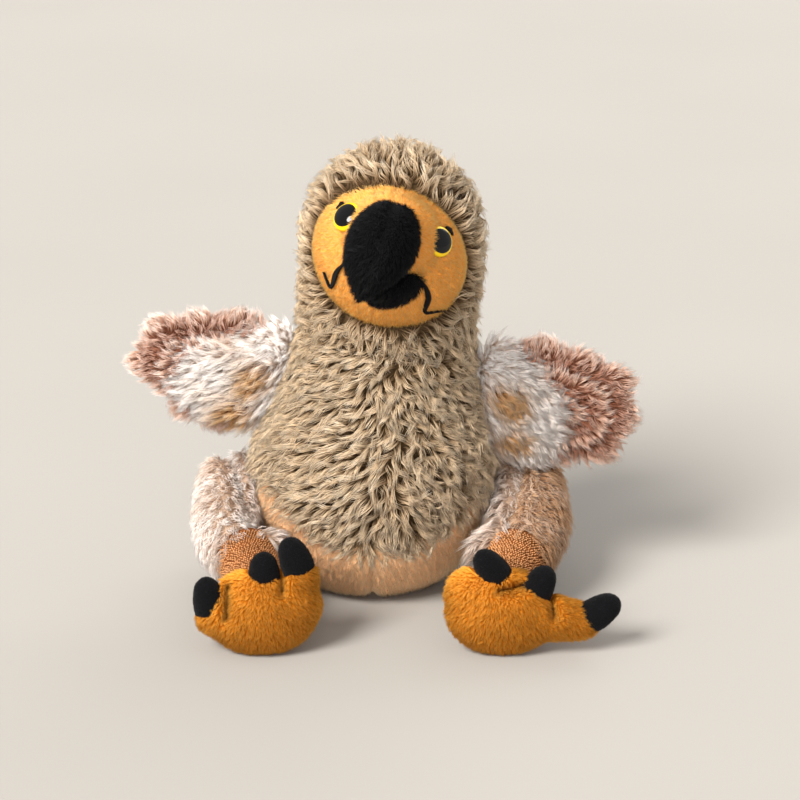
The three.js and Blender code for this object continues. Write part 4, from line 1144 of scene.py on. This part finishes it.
def cap_place(x, y):
    """A place on the face's cap and the direction out of it, in the face's frame."""
    lift = np.sqrt(1 - (x / CAP_HALF[0]) ** 2 - (y / CAP_HALF[1]) ** 2)
    out = unit(np.array([x / CAP_HALF[0] ** 2, y / CAP_HALF[1] ** 2, lift / CAP_HALF[2]]))
    return np.array([x, y, CAP_SETBACK + CAP_HALF[2] * lift]), out


swing = np.radians(np.linspace(0, 90, 16))[:-1]
below = [(EYE_SHANK, -5), (EYE_SHANK, -0.6), (EYE_RADIUS - 0.6, -0.6), (EYE_RADIUS, 0)]
dome = rows_of(EYE_RADIUS * np.cos(swing), 1 + 3.5 * np.sin(swing))
reach, level = np.concatenate([below, dome]).T
paint = np.append(np.repeat(reach / EYE_RADIUS, EYE_SIDES), [1.0, 0.0])
paint[: len(below) * EYE_SIDES] = 1.0
for key in SIDES:
    spot, out = cap_place(*EYE_AT[key])
    eye_frame = FACE_FRAME @ frame_along(spot + 0.4 * out, out, np.array([0, 1.0, 0]))
    rings = placed(turned_rings(reach, level, EYE_SIDES), eye_frame)
    eye = piece(f"eye_{key}_dome", loft(rings), [], "eye_plastic", "head", f"eye_{key}")
    eye.data.attributes["root_to_tip"].data.foreach_set("value", paint.astype(np.float32))

# %% [markdown]
# ## Stitched mouth and brow corners
# The mouth is satin stitch: short threads laid side by side across a line. Each thread is a low
# arch from one edge of the line to the other, slanted a little, and the line tapers at its ends.

# %% Stitches
thread = Finish("black_thread", Roughness=0.7, Specular_IOR_Level=0.2)
LOOKS["black_thread"] = [thread, thread]
thread.colour(thread.mix(thread.attribute("tone"), ink(4, 4, 5), ink(14, 14, 15)))


def satin(keys, spread, spacing):
    """Threads across a line on the face: each runs from one edge to the other in an arch, its
    height going as the square root of half a sine wave."""
    flat = spline([[x, y, 0] for x, y in keys], 200)
    total = np.sum(np.linalg.norm(np.diff(flat, axis=0), axis=1))
    count = int(total / spacing)
    share = np.linspace(0.01, 0.99, count)
    middle = line_at(flat, share)
    along = heading(flat, share, 0.03)
    cross = np.stack([-along[:, 1], along[:, 0], 0 * share], 1) + 0.5 * along
    half = spread / 2 * (0.4 + 0.6 * np.exp(-(((share - 0.38) / 0.24) ** 2)))
    t = np.linspace(-1, 1, 6)[None, :, None]
    line = middle[:, None] + cross[:, None] * half[:, None, None] * t
    line = face_place(line[..., 0], line[..., 1], 0.4 + np.cos(np.pi / 2 * t[..., 0]) ** 0.5)
    wide = along @ FACE_FRAME[:3, :3].T
    return {"line": line, "side": wide[:, None], "width": 0.85, "blunt": 0.9,
            "tone": rng.random(count), "tint": np.zeros(count)}


def under_line(keys):
    """A flat band of padding below the threads, as a thin tube on the face."""
    flat = spline([[x, y, 0] for x, y in keys], 40)
    line = face_place(flat[:, 0], flat[:, 1], 0.2)
    rings = limb(line, [1.7, 1.7], [1.5, 1.5], FACE_FRAME[:3, 2], bunched(0, 1, 24),
                 sides=8, inset=0, round_start=0.1, round_end=0.1)
    return loft(rings)


MOUTH = {"left": [[18.5, -5.5], [22, -9], [24, -13.5], [23.8, -20.6], [24.6, -21.2], [28.6, -20],
                  [33, -19]],
         "right": [[-18.8, -6.5], [-21.4, -12.5], [-22, -18], [-22.6, -20.8], [-23.4, -20.8],
                   [-25.6, -18], [-28, -14.6]]}
BROW = {"left": [[23.5, 21.4], [25.6, 20.2], [27.2, 18.2]],
        "right": [[-27.2, 19.6], [-28.6, 17.8], [-29.6, 16.2]]}
THREAD_STEP = 0.55
for key in SIDES:
    for part, keys, spread in (("mouth", MOUTH[key], 3.0), ("brow", BROW[key], 2.4)):
        piece(f"{part}_{key}_thread", under_line(keys), [satin(keys, spread, THREAD_STEP)],
              "black_thread", "head", f"{part}_stitch_{key}")

# %% [markdown]
# ## Wings
# A wing is a flat cushion with a scalloped edge: white pile in front, brown pile behind, which
# shows as a border along the top and the outer end. All of it is brushed outward, and at the
# edge the strands gather into lobes. The brown layer lies in rows, each overhanging the next.

# %% Wing form
WING_LENGTH, WING_CHORD, WING_ROOT = 74.0, 64.0, 4.0
WING_MIDDLE = WING_LENGTH / 2 - WING_ROOT / 2
WING_LOBES = 9
WINGS = {"right": {"height": 107, "lift": -8, "sweep": 16, "trim": 0.33, "inset": 7.0, "tan": 1.5},
         "left": {"height": 99, "lift": -20, "sweep": 3, "trim": 0.0, "inset": 5.0, "tan": 2.2}}
BROWN_BACK, ROW_START, ROW_RISE = 8.0, 3.4, 4.8  # thickness behind, and in front by row
BROWN_LOCK, ROW_LOCK = 5.6, 3.4  # pile at a row's start, and what its rim adds
WHITE_FRONT, WHITE_BACK = 9.0, 1.0
WHITE_LOCK, UNDER_LOCK = 11.5, 8.0
WING_GAP = 6.9  # mm from the coat's outline out to the hinge
WING_TURN = full_turn(144)[None]
WING_SWING = np.radians(np.linspace(-88, 88, 31))[:, None]  # from the back's middle to the front's
WING_OUT = np.cos(WING_SWING) ** 0.7
FEATHER_ROW = 0.4  # a row's part of the way from the wing's middle to its edge


def wing_edge(angle, inset, trim=0.0):
    """Reach of the outline from the wing's middle: a squarish oval, notched between lobes except
    near the body, drawn in by an inset, and trimmed at the lower outer corner."""
    half = [(WING_LENGTH + WING_ROOT) / 2, WING_CHORD / 2]
    cos, sin = np.cos(angle), np.sin(angle)
    oval = (np.abs(cos / half[0]) ** 2.6 + np.abs(sin / half[1]) ** 2.6) ** (-1 / 2.6)
    share = np.clip((cos + 0.75) / 0.4, 0, 1)
    away = share * share * (3 - 2 * share)
    notch = 0.15 * away * (1 - np.abs(np.cos(WING_LOBES * angle / 2)))
    corner = np.exp(-(((np.angle(np.exp(1j * (angle + 0.75)))) / 0.5) ** 2))
    return oval * (1 - notch - trim * corner) - inset * (0.12 + 0.88 * np.clip(0.75 + cos, 0, 1))


def wing_frame(key):
    """The hinge line follows the slope of the coat's side; the wing is swept and lifted there."""
    side, shape = SIDES[key], WINGS[key]

    def edge(z):
        """The coat's outline at a height, seen from the front."""
        angle = np.array(0.0 if side > 0 else np.pi)
        return coat_point(angle, np.array(float(z))) * [1, 0, 1]

    up = unit(edge(shape["height"] + WING_CHORD / 4) - edge(shape["height"] - WING_CHORD / 4))
    front = unit(np.cross([side, 0, 0], up))
    square = unit(np.cross(up, front))
    made = np.eye(4)
    made[:3, :3] = np.stack([square, up, front], 1)
    made[:3, 3] = edge(shape["height"]) + WING_GAP * square
    return made @ turned("y", -side * shape["sweep"]) @ turned("z", shape["lift"])


print("wing's edge at its tip, from its middle:", round(float(wing_edge(np.array(0.0), 0)), 1))


# %% Wing layers
def layer(reach, centre, front, back, here, dent):
    """A closed cushion over an outline: rings from the middle of its back, over the edge, to the
    middle of its front. A dent between lobes thins it towards the edge."""
    high = np.where(WING_SWING > 0, front, back) * np.abs(np.sin(WING_SWING))
    x = centre[0] + reach * np.cos(WING_TURN) * WING_OUT
    y = centre[1] + reach * np.sin(WING_TURN) * WING_OUT
    return loft(placed(rows_of(x, y, high * (1 - dent * WING_OUT**2)), here))


def feather_row(share):
    """How far along its row of feathers a place is, 0 where a row starts and 1 at its rim; share
    is the place's part of the way from the wing's middle to its edge."""
    return np.mod((share - 1) / FEATHER_ROW - 1e-6, 1)


WHITE_MIDDLE = np.array([20.0, -4.0])
WHITE_EDGE = {
    "right": [[-7, 26], [12, 24], [24, 18], [36, 15], [45, 12], [49, 4], [48, -5], [46, -12],
              [34, -19], [16, -25], [-4, -23], [-8, 0]],
    "left": [[-7, 27], [10, 21], [24, 13], [34, 5], [38, -5], [38, -16], [34, -26], [24, -31],
             [8, -28], [-6, -21], [-8, 0]]}


def white_reach(key):
    """Reach of the white layer's outline: steps between a few places, averaged over 20 degrees."""
    spots = np.array(WHITE_EDGE[key], float) - WHITE_MIDDLE
    at, far = np.arctan2(spots[:, 1], spots[:, 0]), np.linalg.norm(spots, axis=1)
    order = np.argsort(at)
    nearby = WING_TURN[..., None] + np.radians(np.linspace(-10, 10, 9))
    return np.interp(nearby, at[order], far[order], period=2 * np.pi).mean(-1)


print("white layers reach out to", [round(float(white_reach(key).max())) for key in SIDES], "mm")

# %% Wings
for key, side in SIDES.items():
    here, shape = wing_frame(key), WINGS[key]
    inverse = np.linalg.inv(here)
    dip = 1 - np.abs(np.cos(WING_LOBES * WING_TURN / 2))
    away = np.clip((np.cos(WING_TURN) + 0.75) / 0.4, 0, 1)
    raised = side * (ROW_START + ROW_RISE * feather_row(WING_OUT))
    edge = wing_edge(WING_TURN, shape["inset"], shape["trim"])
    brown_skin = layer(edge, [WING_MIDDLE, 0], raised, -side * BROWN_BACK, here,
                       0.6 * dip * away)
    white_skin = layer(white_reach(key), WHITE_MIDDLE, side * WHITE_FRONT, -side * WHITE_BACK,
                       here, 0.0)

    def along_wing(flow):
        """A direction in the wing's plane, in the toy's frame."""
        return rows_of(*flow.T, 0) @ here[:3, :3].T

    def on_brown(places):
        """Angle about the wing's middle, and the share of the way from there to the edge."""
        q = placed(places, inverse)[:, :2] - [WING_MIDDLE, 0]
        angle = np.arctan2(q[:, 1], q[:, 0])
        return angle, np.hypot(*q.T) / wing_edge(angle, shape["inset"], shape["trim"])

    def brown_comb(places, out):
        """Outward from the middle, and towards the middle line of the nearest lobe."""
        q = placed(places, inverse)
        angle = np.arctan2(q[:, 1], q[:, 0] - WING_MIDDLE)
        lobe = np.round(angle * WING_LOBES / (2 * np.pi)) * 2 * np.pi / WING_LOBES
        aim = rows_of(WING_MIDDLE + 48 * np.cos(lobe), 40 * np.sin(lobe))
        return along_wing(0.9 * unit(aim - q[:, :2]) + unit(q[:, :2] - [WING_MIDDLE - 30, 0]))

    def white_comb(places, out):
        """Outward along the wing, a little downward below, and fanning with the height."""
        q = placed(places, inverse)
        sway = 0.5 * drift(q, 0.1, 8) * [0.0, 0.5]
        return along_wing(unit(q[:, :2] - [-45, 8]) + [0, -0.15] + sway)

    def not_covered(places):
        """Drops roots of the brown layer that lie under the white one."""
        q = placed(places, inverse)
        d = q[:, :2] - WHITE_MIDDLE
        angle = np.arctan2(d[:, 1], d[:, 0])
        reach = np.interp(angle, WING_TURN[0], white_reach(key)[0], period=2 * np.pi)
        return (side * q[:, 2] < 0) | (np.linalg.norm(d, axis=1) > reach - 4)

    def in_front(places):
        """True on the wing's front and round its rim."""
        return side * placed(places, inverse)[:, 2] > -0.8

    def brown_length(places):
        """Longer towards the rim of each row, so that it overhangs the next."""
        return BROWN_LOCK + ROW_LOCK * feather_row(on_brown(places)[1])

    strands = pile(brown_skin, 1150, 11, brown_length, brown_comb, lift=1.1, clump=0.3, width=0.39,
                   rings=2, jitter=0.3, keep=not_covered, wave=0.5, lay=0.8, fray=0.5)
    # The brown pile's tint is pale towards each row's rim, which are the feathers' own pale tips.
    # It is low, so brown and darker, at a row's start under the rim above and between lobes. There
    # it is the wing's brown with painted shade for the overhang and the notches.
    angle, rim = on_brown(strands["middle"])
    between = 1 - np.abs(np.cos(WING_LOBES * angle / 2))
    pale = 0.06 + 1.15 * feather_row(rim - 0.02) ** 1.6 - 0.6 * between**2
    strands["tint"] = np.clip(pale + rng.normal(0, 0.08, len(rim)), 0, 1)
    piece(f"wing_back_{key}_pile", brown_skin, [strands], "brown_pile", f"wing_{key}",
          f"wing_back_{key}")
    top_coat = pile(white_skin, 620, 13, WHITE_LOCK, white_comb, lift=0.85, clump=0.5,
                    width=0.42, rings=2, jitter=0.3, keep=in_front, wave=0.7, fray=0.5)
    under_coat = pile(white_skin, 1350, 11, UNDER_LOCK, white_comb, lift=0.9, clump=0.25,
                      width=0.38, rings=1, jitter=0.3, keep=in_front, fray=0.4)
    for strands in (top_coat, under_coat):
        q = placed(strands["middle"], inverse)
        tan = np.exp(-np.sum(((q[:, :2] - [7, -1]) / [9, 8]) ** 2, 1)) + 0.8 * np.exp(
            -np.sum(((q[:, :2] - [13, -20]) / [9, 6]) ** 2, 1))
        patchy = shape["tan"] * tan + 0.3 * drift(q, 0.15, 4)[:, 0]
        strands["tint"] = np.clip(patchy + rng.normal(0, 0.12, len(q)), 0, 1)
    piece(f"wing_front_{key}_pile", white_skin, [top_coat, under_coat], "white_pile", f"wing_{key}",
          f"wing_front_{key}")

# %% [markdown]
# ## Stuffed forms
# Feet and thighs are cushions. Their simple forms are joined by a voxel remesh and smoothed,
# which gives nearly all of their roundness. A short cloth simulation then presses on the skin from
# inside and moves it by a few hundredths to tenths of a millimetre. How far a point may go is
# capped.


# %% Cloth
CLOTH_FRAMES = 20
CLOTH_PRESSURE = 4.0
STUFFED_CLOTH = 1.5  # thickness of the thighs' and feet's backing


def points_of(mesh):
    """A mesh's points as rows."""
    flat = np.empty(len(mesh.vertices) * 3)
    mesh.vertices.foreach_get("co", flat)
    return flat.reshape(-1, 3)


def stuffed(name, skin, voxel, cap, smooth):
    """A skin remeshed into one, smoothed, pressed out by cloth pressure and subdivided once."""
    points, faces = skin
    mesh = bpy.data.meshes.new(name)
    mesh.from_pydata(points * MM, [], faces.tolist())
    obj = bpy.data.objects.new(name, mesh)
    bpy.context.collection.objects.link(obj)
    join = obj.modifiers.new("join", "REMESH")
    join.mode, join.voxel_size = "VOXEL", voxel * MM
    even = obj.modifiers.new("even", "SMOOTH")
    even.factor, even.iterations = 0.5, smooth
    graph = bpy.context.evaluated_depsgraph_get()
    joined = bpy.data.meshes.new_from_object(obj.evaluated_get(graph))
    obj.modifiers.clear()
    obj.data = joined
    rest = points_of(joined)
    cloth = obj.modifiers.new("stuffing", "CLOTH")
    cloth.settings.use_pressure = True
    cloth.settings.uniform_pressure_force = CLOTH_PRESSURE
    cloth.settings.effector_weights.gravity = 0
    cloth.settings.quality = 5
    cloth.collision_settings.use_collision = False
    cloth.point_cache.frame_start, cloth.point_cache.frame_end = 1, CLOTH_FRAMES
    scene = bpy.context.scene
    for step in range(1, CLOTH_FRAMES + 1):
        scene.frame_set(step)
        bpy.context.view_layer.update()
    swollen = obj.evaluated_get(bpy.context.evaluated_depsgraph_get()).data
    shift = points_of(swollen) - rest
    shift -= shift.mean(0)
    far = np.linalg.norm(shift, axis=1, keepdims=True)
    rest = rest + shift * np.minimum(1, cap * MM / np.maximum(far, 1e-9))
    obj.modifiers.clear()
    scene.frame_set(1)
    joined.vertices.foreach_set("co", rest.ravel())
    print(f"{name}: cloth moved points by {far.mean() / MM:.2f} mm on average before the cap")
    finer = obj.modifiers.new("finer", "SUBSURF")
    finer.levels = finer.render_levels = 1
    graph = bpy.context.evaluated_depsgraph_get()
    done = bpy.data.meshes.new_from_object(obj.evaluated_get(graph))
    done.calc_loop_triangles()
    faces = np.empty(len(done.loop_triangles) * 3, np.int32)
    done.loop_triangles.foreach_get("vertices", faces)
    bpy.data.objects.remove(obj)
    points, faces = points_of(done) / MM, faces.reshape(-1, 3)
    return points, outward(points, faces)


# %% [markdown]
# ## Thighs and sleeves
# Mottled plush wraps the thigh, with a seam along its top that pulls a crease. A terry sleeve with
# a few soft folds joins it to the foot: it runs on into the foot.

# %% Legs
LEGS = {"right": {"thigh": 70, "width": 36, "cuff": 60, "ankle": 53},
        "left": {"thigh": 77, "width": 40, "cuff": 70, "ankle": 63}}
CUFF_SHARE = 0.78  # where the thigh ends and the sleeve starts, along the leg
HIP, ANKLE = (4, 41), (-70, 24)  # y and z
BODY_SIDE, HIP_REACH = 61.4, 42  # near the hip, the thigh stays outside the body's side
SEAM_CREASE, THIGH_LOCK = 6.5, 7.5  # depth of the crease, length of pile
INNER_SWELL = 7  # what the thigh gains towards the middle, in front of the hip
SLEEVE_DRAW = 14  # mm into the foot at which the sleeve would close
BEND_BEFORE, BEND_AFTER = 8, 4  # mm along the leg before and after the ankle, the two places given with the sleeve
# how much of the brown dye each half of a thigh takes; on the toy's left thigh, most on its outer
# half, it is partly the plush's own brown and partly painted shadow of the wing and body above it
DYE_AND_PAINTED_SHADOW = {"outer_left": 0.9, "inner_left": 0.3, "outer_right": -0.1, "inner_right": -0.1}
for key, side in SIDES.items():
    leg = LEGS[key]
    across = side * np.array([leg["thigh"]] * 3 + [leg["cuff"], leg["ankle"]])
    keys = rows_of(across, [34, HIP[0], -25, -49, ANKLE[0]], [41, HIP[1], 33, 28, ANKLE[1]])
    line = spline(keys, 200)
    widths, heights = [leg["width"]] * 3 + [32, 24], [42, 42, 38, 32, 24]
    rings = limb(line, widths, heights, [1, 0, 0], bunched(0, CUFF_SHARE, 40),
                 sides=48, inset=1.0, round_start=0.22)
    beside = (rings[..., 1] - HIP[0]) ** 2 + (rings[..., 2] - HIP[1]) ** 2 < HIP_REACH**2
    clear = side * np.maximum(side * rings[..., 0], BODY_SIDE)
    rings[..., 0] = np.where(beside, clear, rings[..., 0])
    spine = rings.mean(1, keepdims=True)
    inner = np.clip(side * (spine - rings)[..., 0] / 16, 0, 1) * ~beside
    rings[..., 0] -= side * INNER_SWELL * inner * ease(0, 1, (-12 - spine[..., 1]) / 14)
    lean = (leg["thigh"] - leg["ankle"]) / (HIP[0] - ANKLE[0])

    def past_seam(places):
        """How far outside the thigh's top seam a place is."""
        return side * places[:, 0] - (leg["thigh"] + lean * (places[:, 1] - HIP[0]))

    def thigh_comb(places, out):
        """Forward and down, and away from the seam."""
        return rows_of(0.25 * side * np.sign(side * places[:, 0] - leg["thigh"]), -0.6, -0.8)

    def thigh_pile(places):
        """Shorter pile in the seam's crease, longer pile towards the body."""
        beside = past_seam(places)
        crease = 0.55 * np.exp(-((beside / 4) ** 2)) * (places[:, 2] > 45)
        longer = 0.6 * ease(0, 1, (-2 - beside) / 6) * (places[:, 2] < 50)
        return THIGH_LOCK * (1 - crease + longer)

    points, faces = stuffed(f"thigh_{key}", loft(rings), voxel=4.0, cap=1.5, smooth=4)
    upward = np.clip(normals_of(points, faces)[:, 2], 0, 1)
    points[:, 2] -= SEAM_CREASE * upward * np.exp(-((past_seam(points) / 4.5) ** 2))
    outer = past_seam(points[faces].mean(1)) > 0
    for part, mask in (("outer", outer), ("inner", ~outer)):
        half = (points, faces[mask])
        strands = pile(half, 520, 11, thigh_pile, thigh_comb, lift=0.95, clump=0.35, width=0.39,
                       rings=2, jitter=0.35, wave=0.6, fray=0.6)
        _, y, z = strands["middle"].T
        # The tint is also browner near the top seam, low down by the ankle and in drifting
        # blotches. The blotches are the plush's own mottle. Low down it is partly the plush's
        # colour and partly painted shade in the creases by the ankle.
        near_top = ease(0, 1, (z - 50) / 12) * ease(1, 0, (y - 5) / 20)
        low_down = ease(1, 0, (y + 60) / 25)
        blotch = np.clip(drift(strands["middle"], 0.12, 11)[:, 0], 0, 1)
        dye_and_painted_shade = DYE_AND_PAINTED_SHADOW[f"{part}_{key}"] + 0.35 * near_top + 0.3 * low_down + 0.45 * blotch
        strands["tint"] = np.clip(dye_and_painted_shade + rng.normal(0, 0.15, len(blotch)), 0, 1)
        piece(f"thigh_{part}_{key}_plush", thick(*half, STUFFED_CLOTH), [strands], "mottled_plush",
              f"leg_{key}", f"thigh_{part}_{key}")

    ankle, into_foot = line[-1], unit(line[-1] - line[-6])

    def run_on(rings, deep):
        """The rings, and copies of the last one further into the foot, drawn together."""
        deep = np.asarray(deep)[:, None, None]
        narrowed = (rings[-1] - ankle) * (1 - (deep / SLEEVE_DRAW) ** 2)
        return np.concatenate([rings, ankle + narrowed + deep * into_foot])

    share = np.linspace(CUFF_SHARE - 0.06, 1, 40)
    fold = 0.9 * np.sin(np.pi * 3 * np.clip((share - CUFF_SHARE) / (1 - CUFF_SHARE), 0, 1)) ** 2
    rings = limb(line, widths, heights, [1, 0, 0], share, sides=40, inset=1.4)
    centre = rings.mean(1, keepdims=True)
    rings = centre + (rings - centre) * (1 + fold[:, None, None] / 12)
    sleeve = loft(run_on(rings, [2.5, 5.0, 7.5, 9.5]))
    share = np.linspace(CUFF_SHARE - 0.03, 0.99, 24)
    rows = limb(line, widths, heights, [1, 0, 0], share, sides=64, inset=1.6)
    rows = run_on(rows, 1.2 * np.arange(1, 7))
    rows[1::2] = (rows[1::2] + np.roll(rows[1::2], -1, axis=1)) / 2
    across = unit(np.roll(rows, -1, axis=1) - rows).reshape(-1, 1, 3)
    out = unit(rows - rows.mean(1, keepdims=True)).reshape(-1, 1, 3)
    along = np.cross(out, across)
    count = len(out)
    t = np.linspace(0, 1, 4)[None, :, None]
    stray = rng.normal(0, 0.22, (count, 1, 2))
    arch = rows.reshape(-1, 1, 3) + across * (1.3 * t + stray[..., :1])
    arch = arch + along * (stray[..., 1:] + 0.5 * (t - 0.5)) + 1.5 * np.sin(np.pi * t) * out
    loops = {"line": arch, "side": along, "width": 0.75, "blunt": 0.85, "tone": rng.random(count),
             "tint": np.zeros(count)}
    piece(f"ankle_sleeve_{key}_terry", sleeve, [loops], "terry", f"leg_{key}",
          f"ankle_sleeve_{key}",
          bend=(f"foot_{key}", MM * (ankle - BEND_BEFORE * into_foot),
                MM * (ankle + BEND_AFTER * into_foot)))

# %% [markdown]
# ## Feet and claws
# A foot is a stuffed pad with three toes, its sole turned to the viewer. Pad and toes are joined
# and smoothed, then covered in mustard plush. Each toe ends in a claw of black felt, a tapered
# thimble that covers the toe's end.

# %% Foot forms
felt = Finish("black_felt", Roughness=1.0, Sheen_Weight=0.04, Specular_IOR_Level=0.1)
LOOKS["black_felt"] = [felt, felt]
matted = felt.noise(1400.0, detail=5.0)
felt.colour(felt.mix(matted, ink(4, 4, 5), ink(15, 15, 18)))
felt.bump(matted, strength=0.7, distance=0.0005)
PAD_AT, PAD_HALF = np.array([0.0, -8.5, 17.0]), np.array([27.0, 20.5, 13.0])
TOE_WIDE, TOE_NARROW = 11.0, 7.4
SWELL_AT, SWELL_HALF = {"left": [-15, 8, 0], "right": [17, 3, 0]}, np.array([12.0, 13.0, 11.0])
FOOT_TILT, FOOT_CREASE, FOOT_LOWEST = -14, 6.5, 1.0  # degrees, mm deep, mm over the floor
FOOT_NAP, CLAW_FUZZ = 3.6, 0.9
CLAW_WIDTHS, CLAW_HEIGHTS = [14.8, 14.6, 12.6, 8.4], [15.6, 15.4, 12.8, 8.4]
CLAW_START, CLAW_LENGTH = 3.2, 17.0  # along the toe, from its end
CLAW_RAISED, CLAW_RISE = 1.2, 4.4  # over the toe at its start, and what it gains
PLUSH_END, CLAW_ROOM = 3.4, 8.2  # where plush stops under a claw: past the toe, from its line
# where each toe ends on its pad, in mm, and the claw's lean in degrees
TOES = {"right": {"inner": (20, 17, 20), "middle": (2, 9, 0), "outer": (-23, -3, 9)},
        "left": {"inner": (0, 13, 35), "middle": (13, 4, -27), "outer": (39, -5, -55)}}
# ends of two folds on each pad
CREASES = {"right": [[10.6, 22], [11, 11], [-15, 12], [-15.6, -2]],
           "left": [[-1, 11], [10, 13], [23, 10], [24.5, -1]]}


def creased(places, key):
    """How deep in a fold a place is: a bell curve of its distance from the nearest fold's line."""
    q = (places - PAD_AT)[:, :2]
    deep = np.zeros(len(q))
    for a, b in np.array(CREASES[key]).reshape(-1, 2, 2):
        share = np.clip((q - a) @ (b - a) / np.sum((b - a) ** 2), 0, 1)[:, None]
        deep = np.maximum(deep, np.exp(-np.sum(((q - a - share * (b - a)) / 2.4) ** 2, 1)))
    return deep


def toe_rings(start, end, wide, narrow):
    """A straight tube with round ends between two places, wide at the first."""
    long = np.linalg.norm(end - start) + 2 * narrow
    out = unit(end - start) * narrow
    sizes = [2 * wide, 2 * wide, 2 * narrow]
    path = np.linspace(start - out, end + out, 50)
    return limb(path, sizes, sizes, [0, 0, 1], bunched(0, 1, 24), sides=24, inset=0,
                round_start=narrow / long, round_end=narrow / long)


def toe_end(x, y, lean):
    """Where a toe ends and which way its claw points, in the foot's frame."""
    a = np.radians(lean)
    return PAD_AT + [x, y, 0], np.array([-np.sin(a), np.cos(a), 0])


print("claw of the left outer toe points along", np.round(toe_end(*TOES["left"]["outer"])[1], 2))

# %% Feet and claws
for key, side in SIDES.items():
    ankle = np.array([side * LEGS[key]["ankle"], *ANKLE])
    here = frame_along(ankle, [0, -1.0, 0], np.array([0, 0, 1.0])) @ turned("x", FOOT_TILT)
    inverse = np.linalg.inv(here)
    toes = {toe: toe_end(*spot) for toe, spot in TOES[key].items()}
    forms = [loft(ball_rings(PAD_AT, PAD_HALF))]
    forms += [loft(toe_rings(PAD_AT, end, TOE_WIDE, TOE_NARROW)) for end, _ in toes.values()]
    forms.append(loft(ball_rings(PAD_AT + SWELL_AT[key], SWELL_HALF)))
    points, faces = stuffed(f"foot_{key}", together(*forms), voxel=2.4, cap=1.2, smooth=3)
    lift = np.clip((points[:, 2] - PAD_AT[2]) / 8, -1, 1)
    points[:, 2] -= FOOT_CREASE * creased(points, key) * lift
    foot = placed(points, here)
    foot[:, 2] = np.maximum(foot[:, 2], FOOT_LOWEST)

    def off_claws(places):
        """True where no claw covers the place."""
        q = placed(places, inverse)
        free = np.ones(len(q), bool)
        for end, way in toes.values():
            d = q - end
            past = d @ way + 0.1 * d[:, 2]
            aside = np.linalg.norm(d - (d @ way)[:, None] * way, axis=1)
            free &= (past < PLUSH_END) | (aside > CLAW_ROOM)
        return free

    def foot_comb(places, out):
        """Down the sole, and away from its middle."""
        q = placed(places, inverse) - PAD_AT
        return rows_of(0.5 * q[:, 0], 0.3 * q[:, 1] - 12, 0) @ here[:3, :3].T

    sole = placed(foot[faces].mean(1), inverse)[:, 2] > PAD_AT[2]
    for part, mask, tufts in (("sole", sole, 2000), ("top", ~sole, 950)):
        half = (foot, faces[mask])
        plush = pile(half, tufts, 11, FOOT_NAP, foot_comb, lift=1.0, clump=0.35, width=0.3,
                     rings=1, jitter=0.3, keep=off_claws, lay=0.8, fray=0.3)
        # Painted shade: the plush in each fold of the pad is made darker through its tone, for the
        # shade deep in the fold.
        plush["tone"] = plush["tone"] - 1.5 * creased(placed(plush["roots"], inverse), key)
        piece(f"foot_{part}_{key}_plush", thick(*half, STUFFED_CLOTH), [plush], "mustard_plush",
              f"foot_{key}", f"foot_{part}_{key}")
    low_places = [foot]
    s = np.linspace(0, 1, 40)[:, None]
    for toe, (end, way) in toes.items():
        path = end + way * (CLAW_START + CLAW_LENGTH * s)
        path = path + np.array([0, 0, 1.0]) * (CLAW_RAISED + CLAW_RISE * s)
        rings = limb(path, CLAW_WIDTHS, CLAW_HEIGHTS, [0, 0, 1], bunched(0, 1, 26),
                     sides=32, inset=0, round_end=0.22)
        claw_skin = loft(placed(rings, here))

        def claw_comb(places, out):
            """Along the claw."""
            return np.tile(here[:3, :3] @ way, (len(places), 1))

        fuzz = pile(claw_skin, 500, 3, CLAW_FUZZ, claw_comb, lift=0.8, clump=0.2, width=0.22,
                    rings=1, jitter=1.2)
        piece(f"claw_{toe}_{key}_felt", claw_skin, [fuzz], "black_felt", f"foot_{key}",
              f"claw_{toe}_{key}")
        low_places.append(claw_skin[0])
    keep_floor_below(np.concatenate(low_places), f"foot_{key}")

# %% [markdown]
# ## Tail
# A short tuft of the wings' white pile on a round root. It can't be seen in the photograph; such
# birds have one, so it is kept small.

# %% Tail
TAIL_ROOT = np.array([0, 63.3, 54.0])
TAIL_LOCK = 8.5
tail_line = np.linspace(TAIL_ROOT - [0, 7, 0], TAIL_ROOT + [0, 30, 16], 60)
rings = limb(tail_line, [17, 22, 20, 11], [16, 18, 17, 11], [1, 0, 0], bunched(0, 1, 26),
             sides=28, inset=2.5, round_end=0.4)
tail_skin = loft(rings)


def tail_comb(places, out):
    """Back and up, fanning a little."""
    return rows_of(0.02 * places[:, 0], 0.9, 0.35)


strands = pile(tail_skin, 300, 12, TAIL_LOCK, tail_comb, lift=0.9, clump=0.4, width=0.36, rings=2,
               wave=0.5)
strands["tint"] = np.where(rng.random(len(strands["tint"])) < 0.25, 1.0, 0.0)
piece("tail_tuft_pile", tail_skin, [strands], "white_pile", "tail", "tail_tuft")

# %% Sizes, and the end
low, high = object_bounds()
meshes = [o.data for o in bpy.data.objects if o.type == "MESH"]
total = sum(len(mesh.polygons) for mesh in meshes if "OFBake" in mesh.uv_layers)
print("triangles of all pieces, backing and pile:", total)
print("visual box, mm:", [round(1000 * (b - a)) for a, b in zip(low, high)])
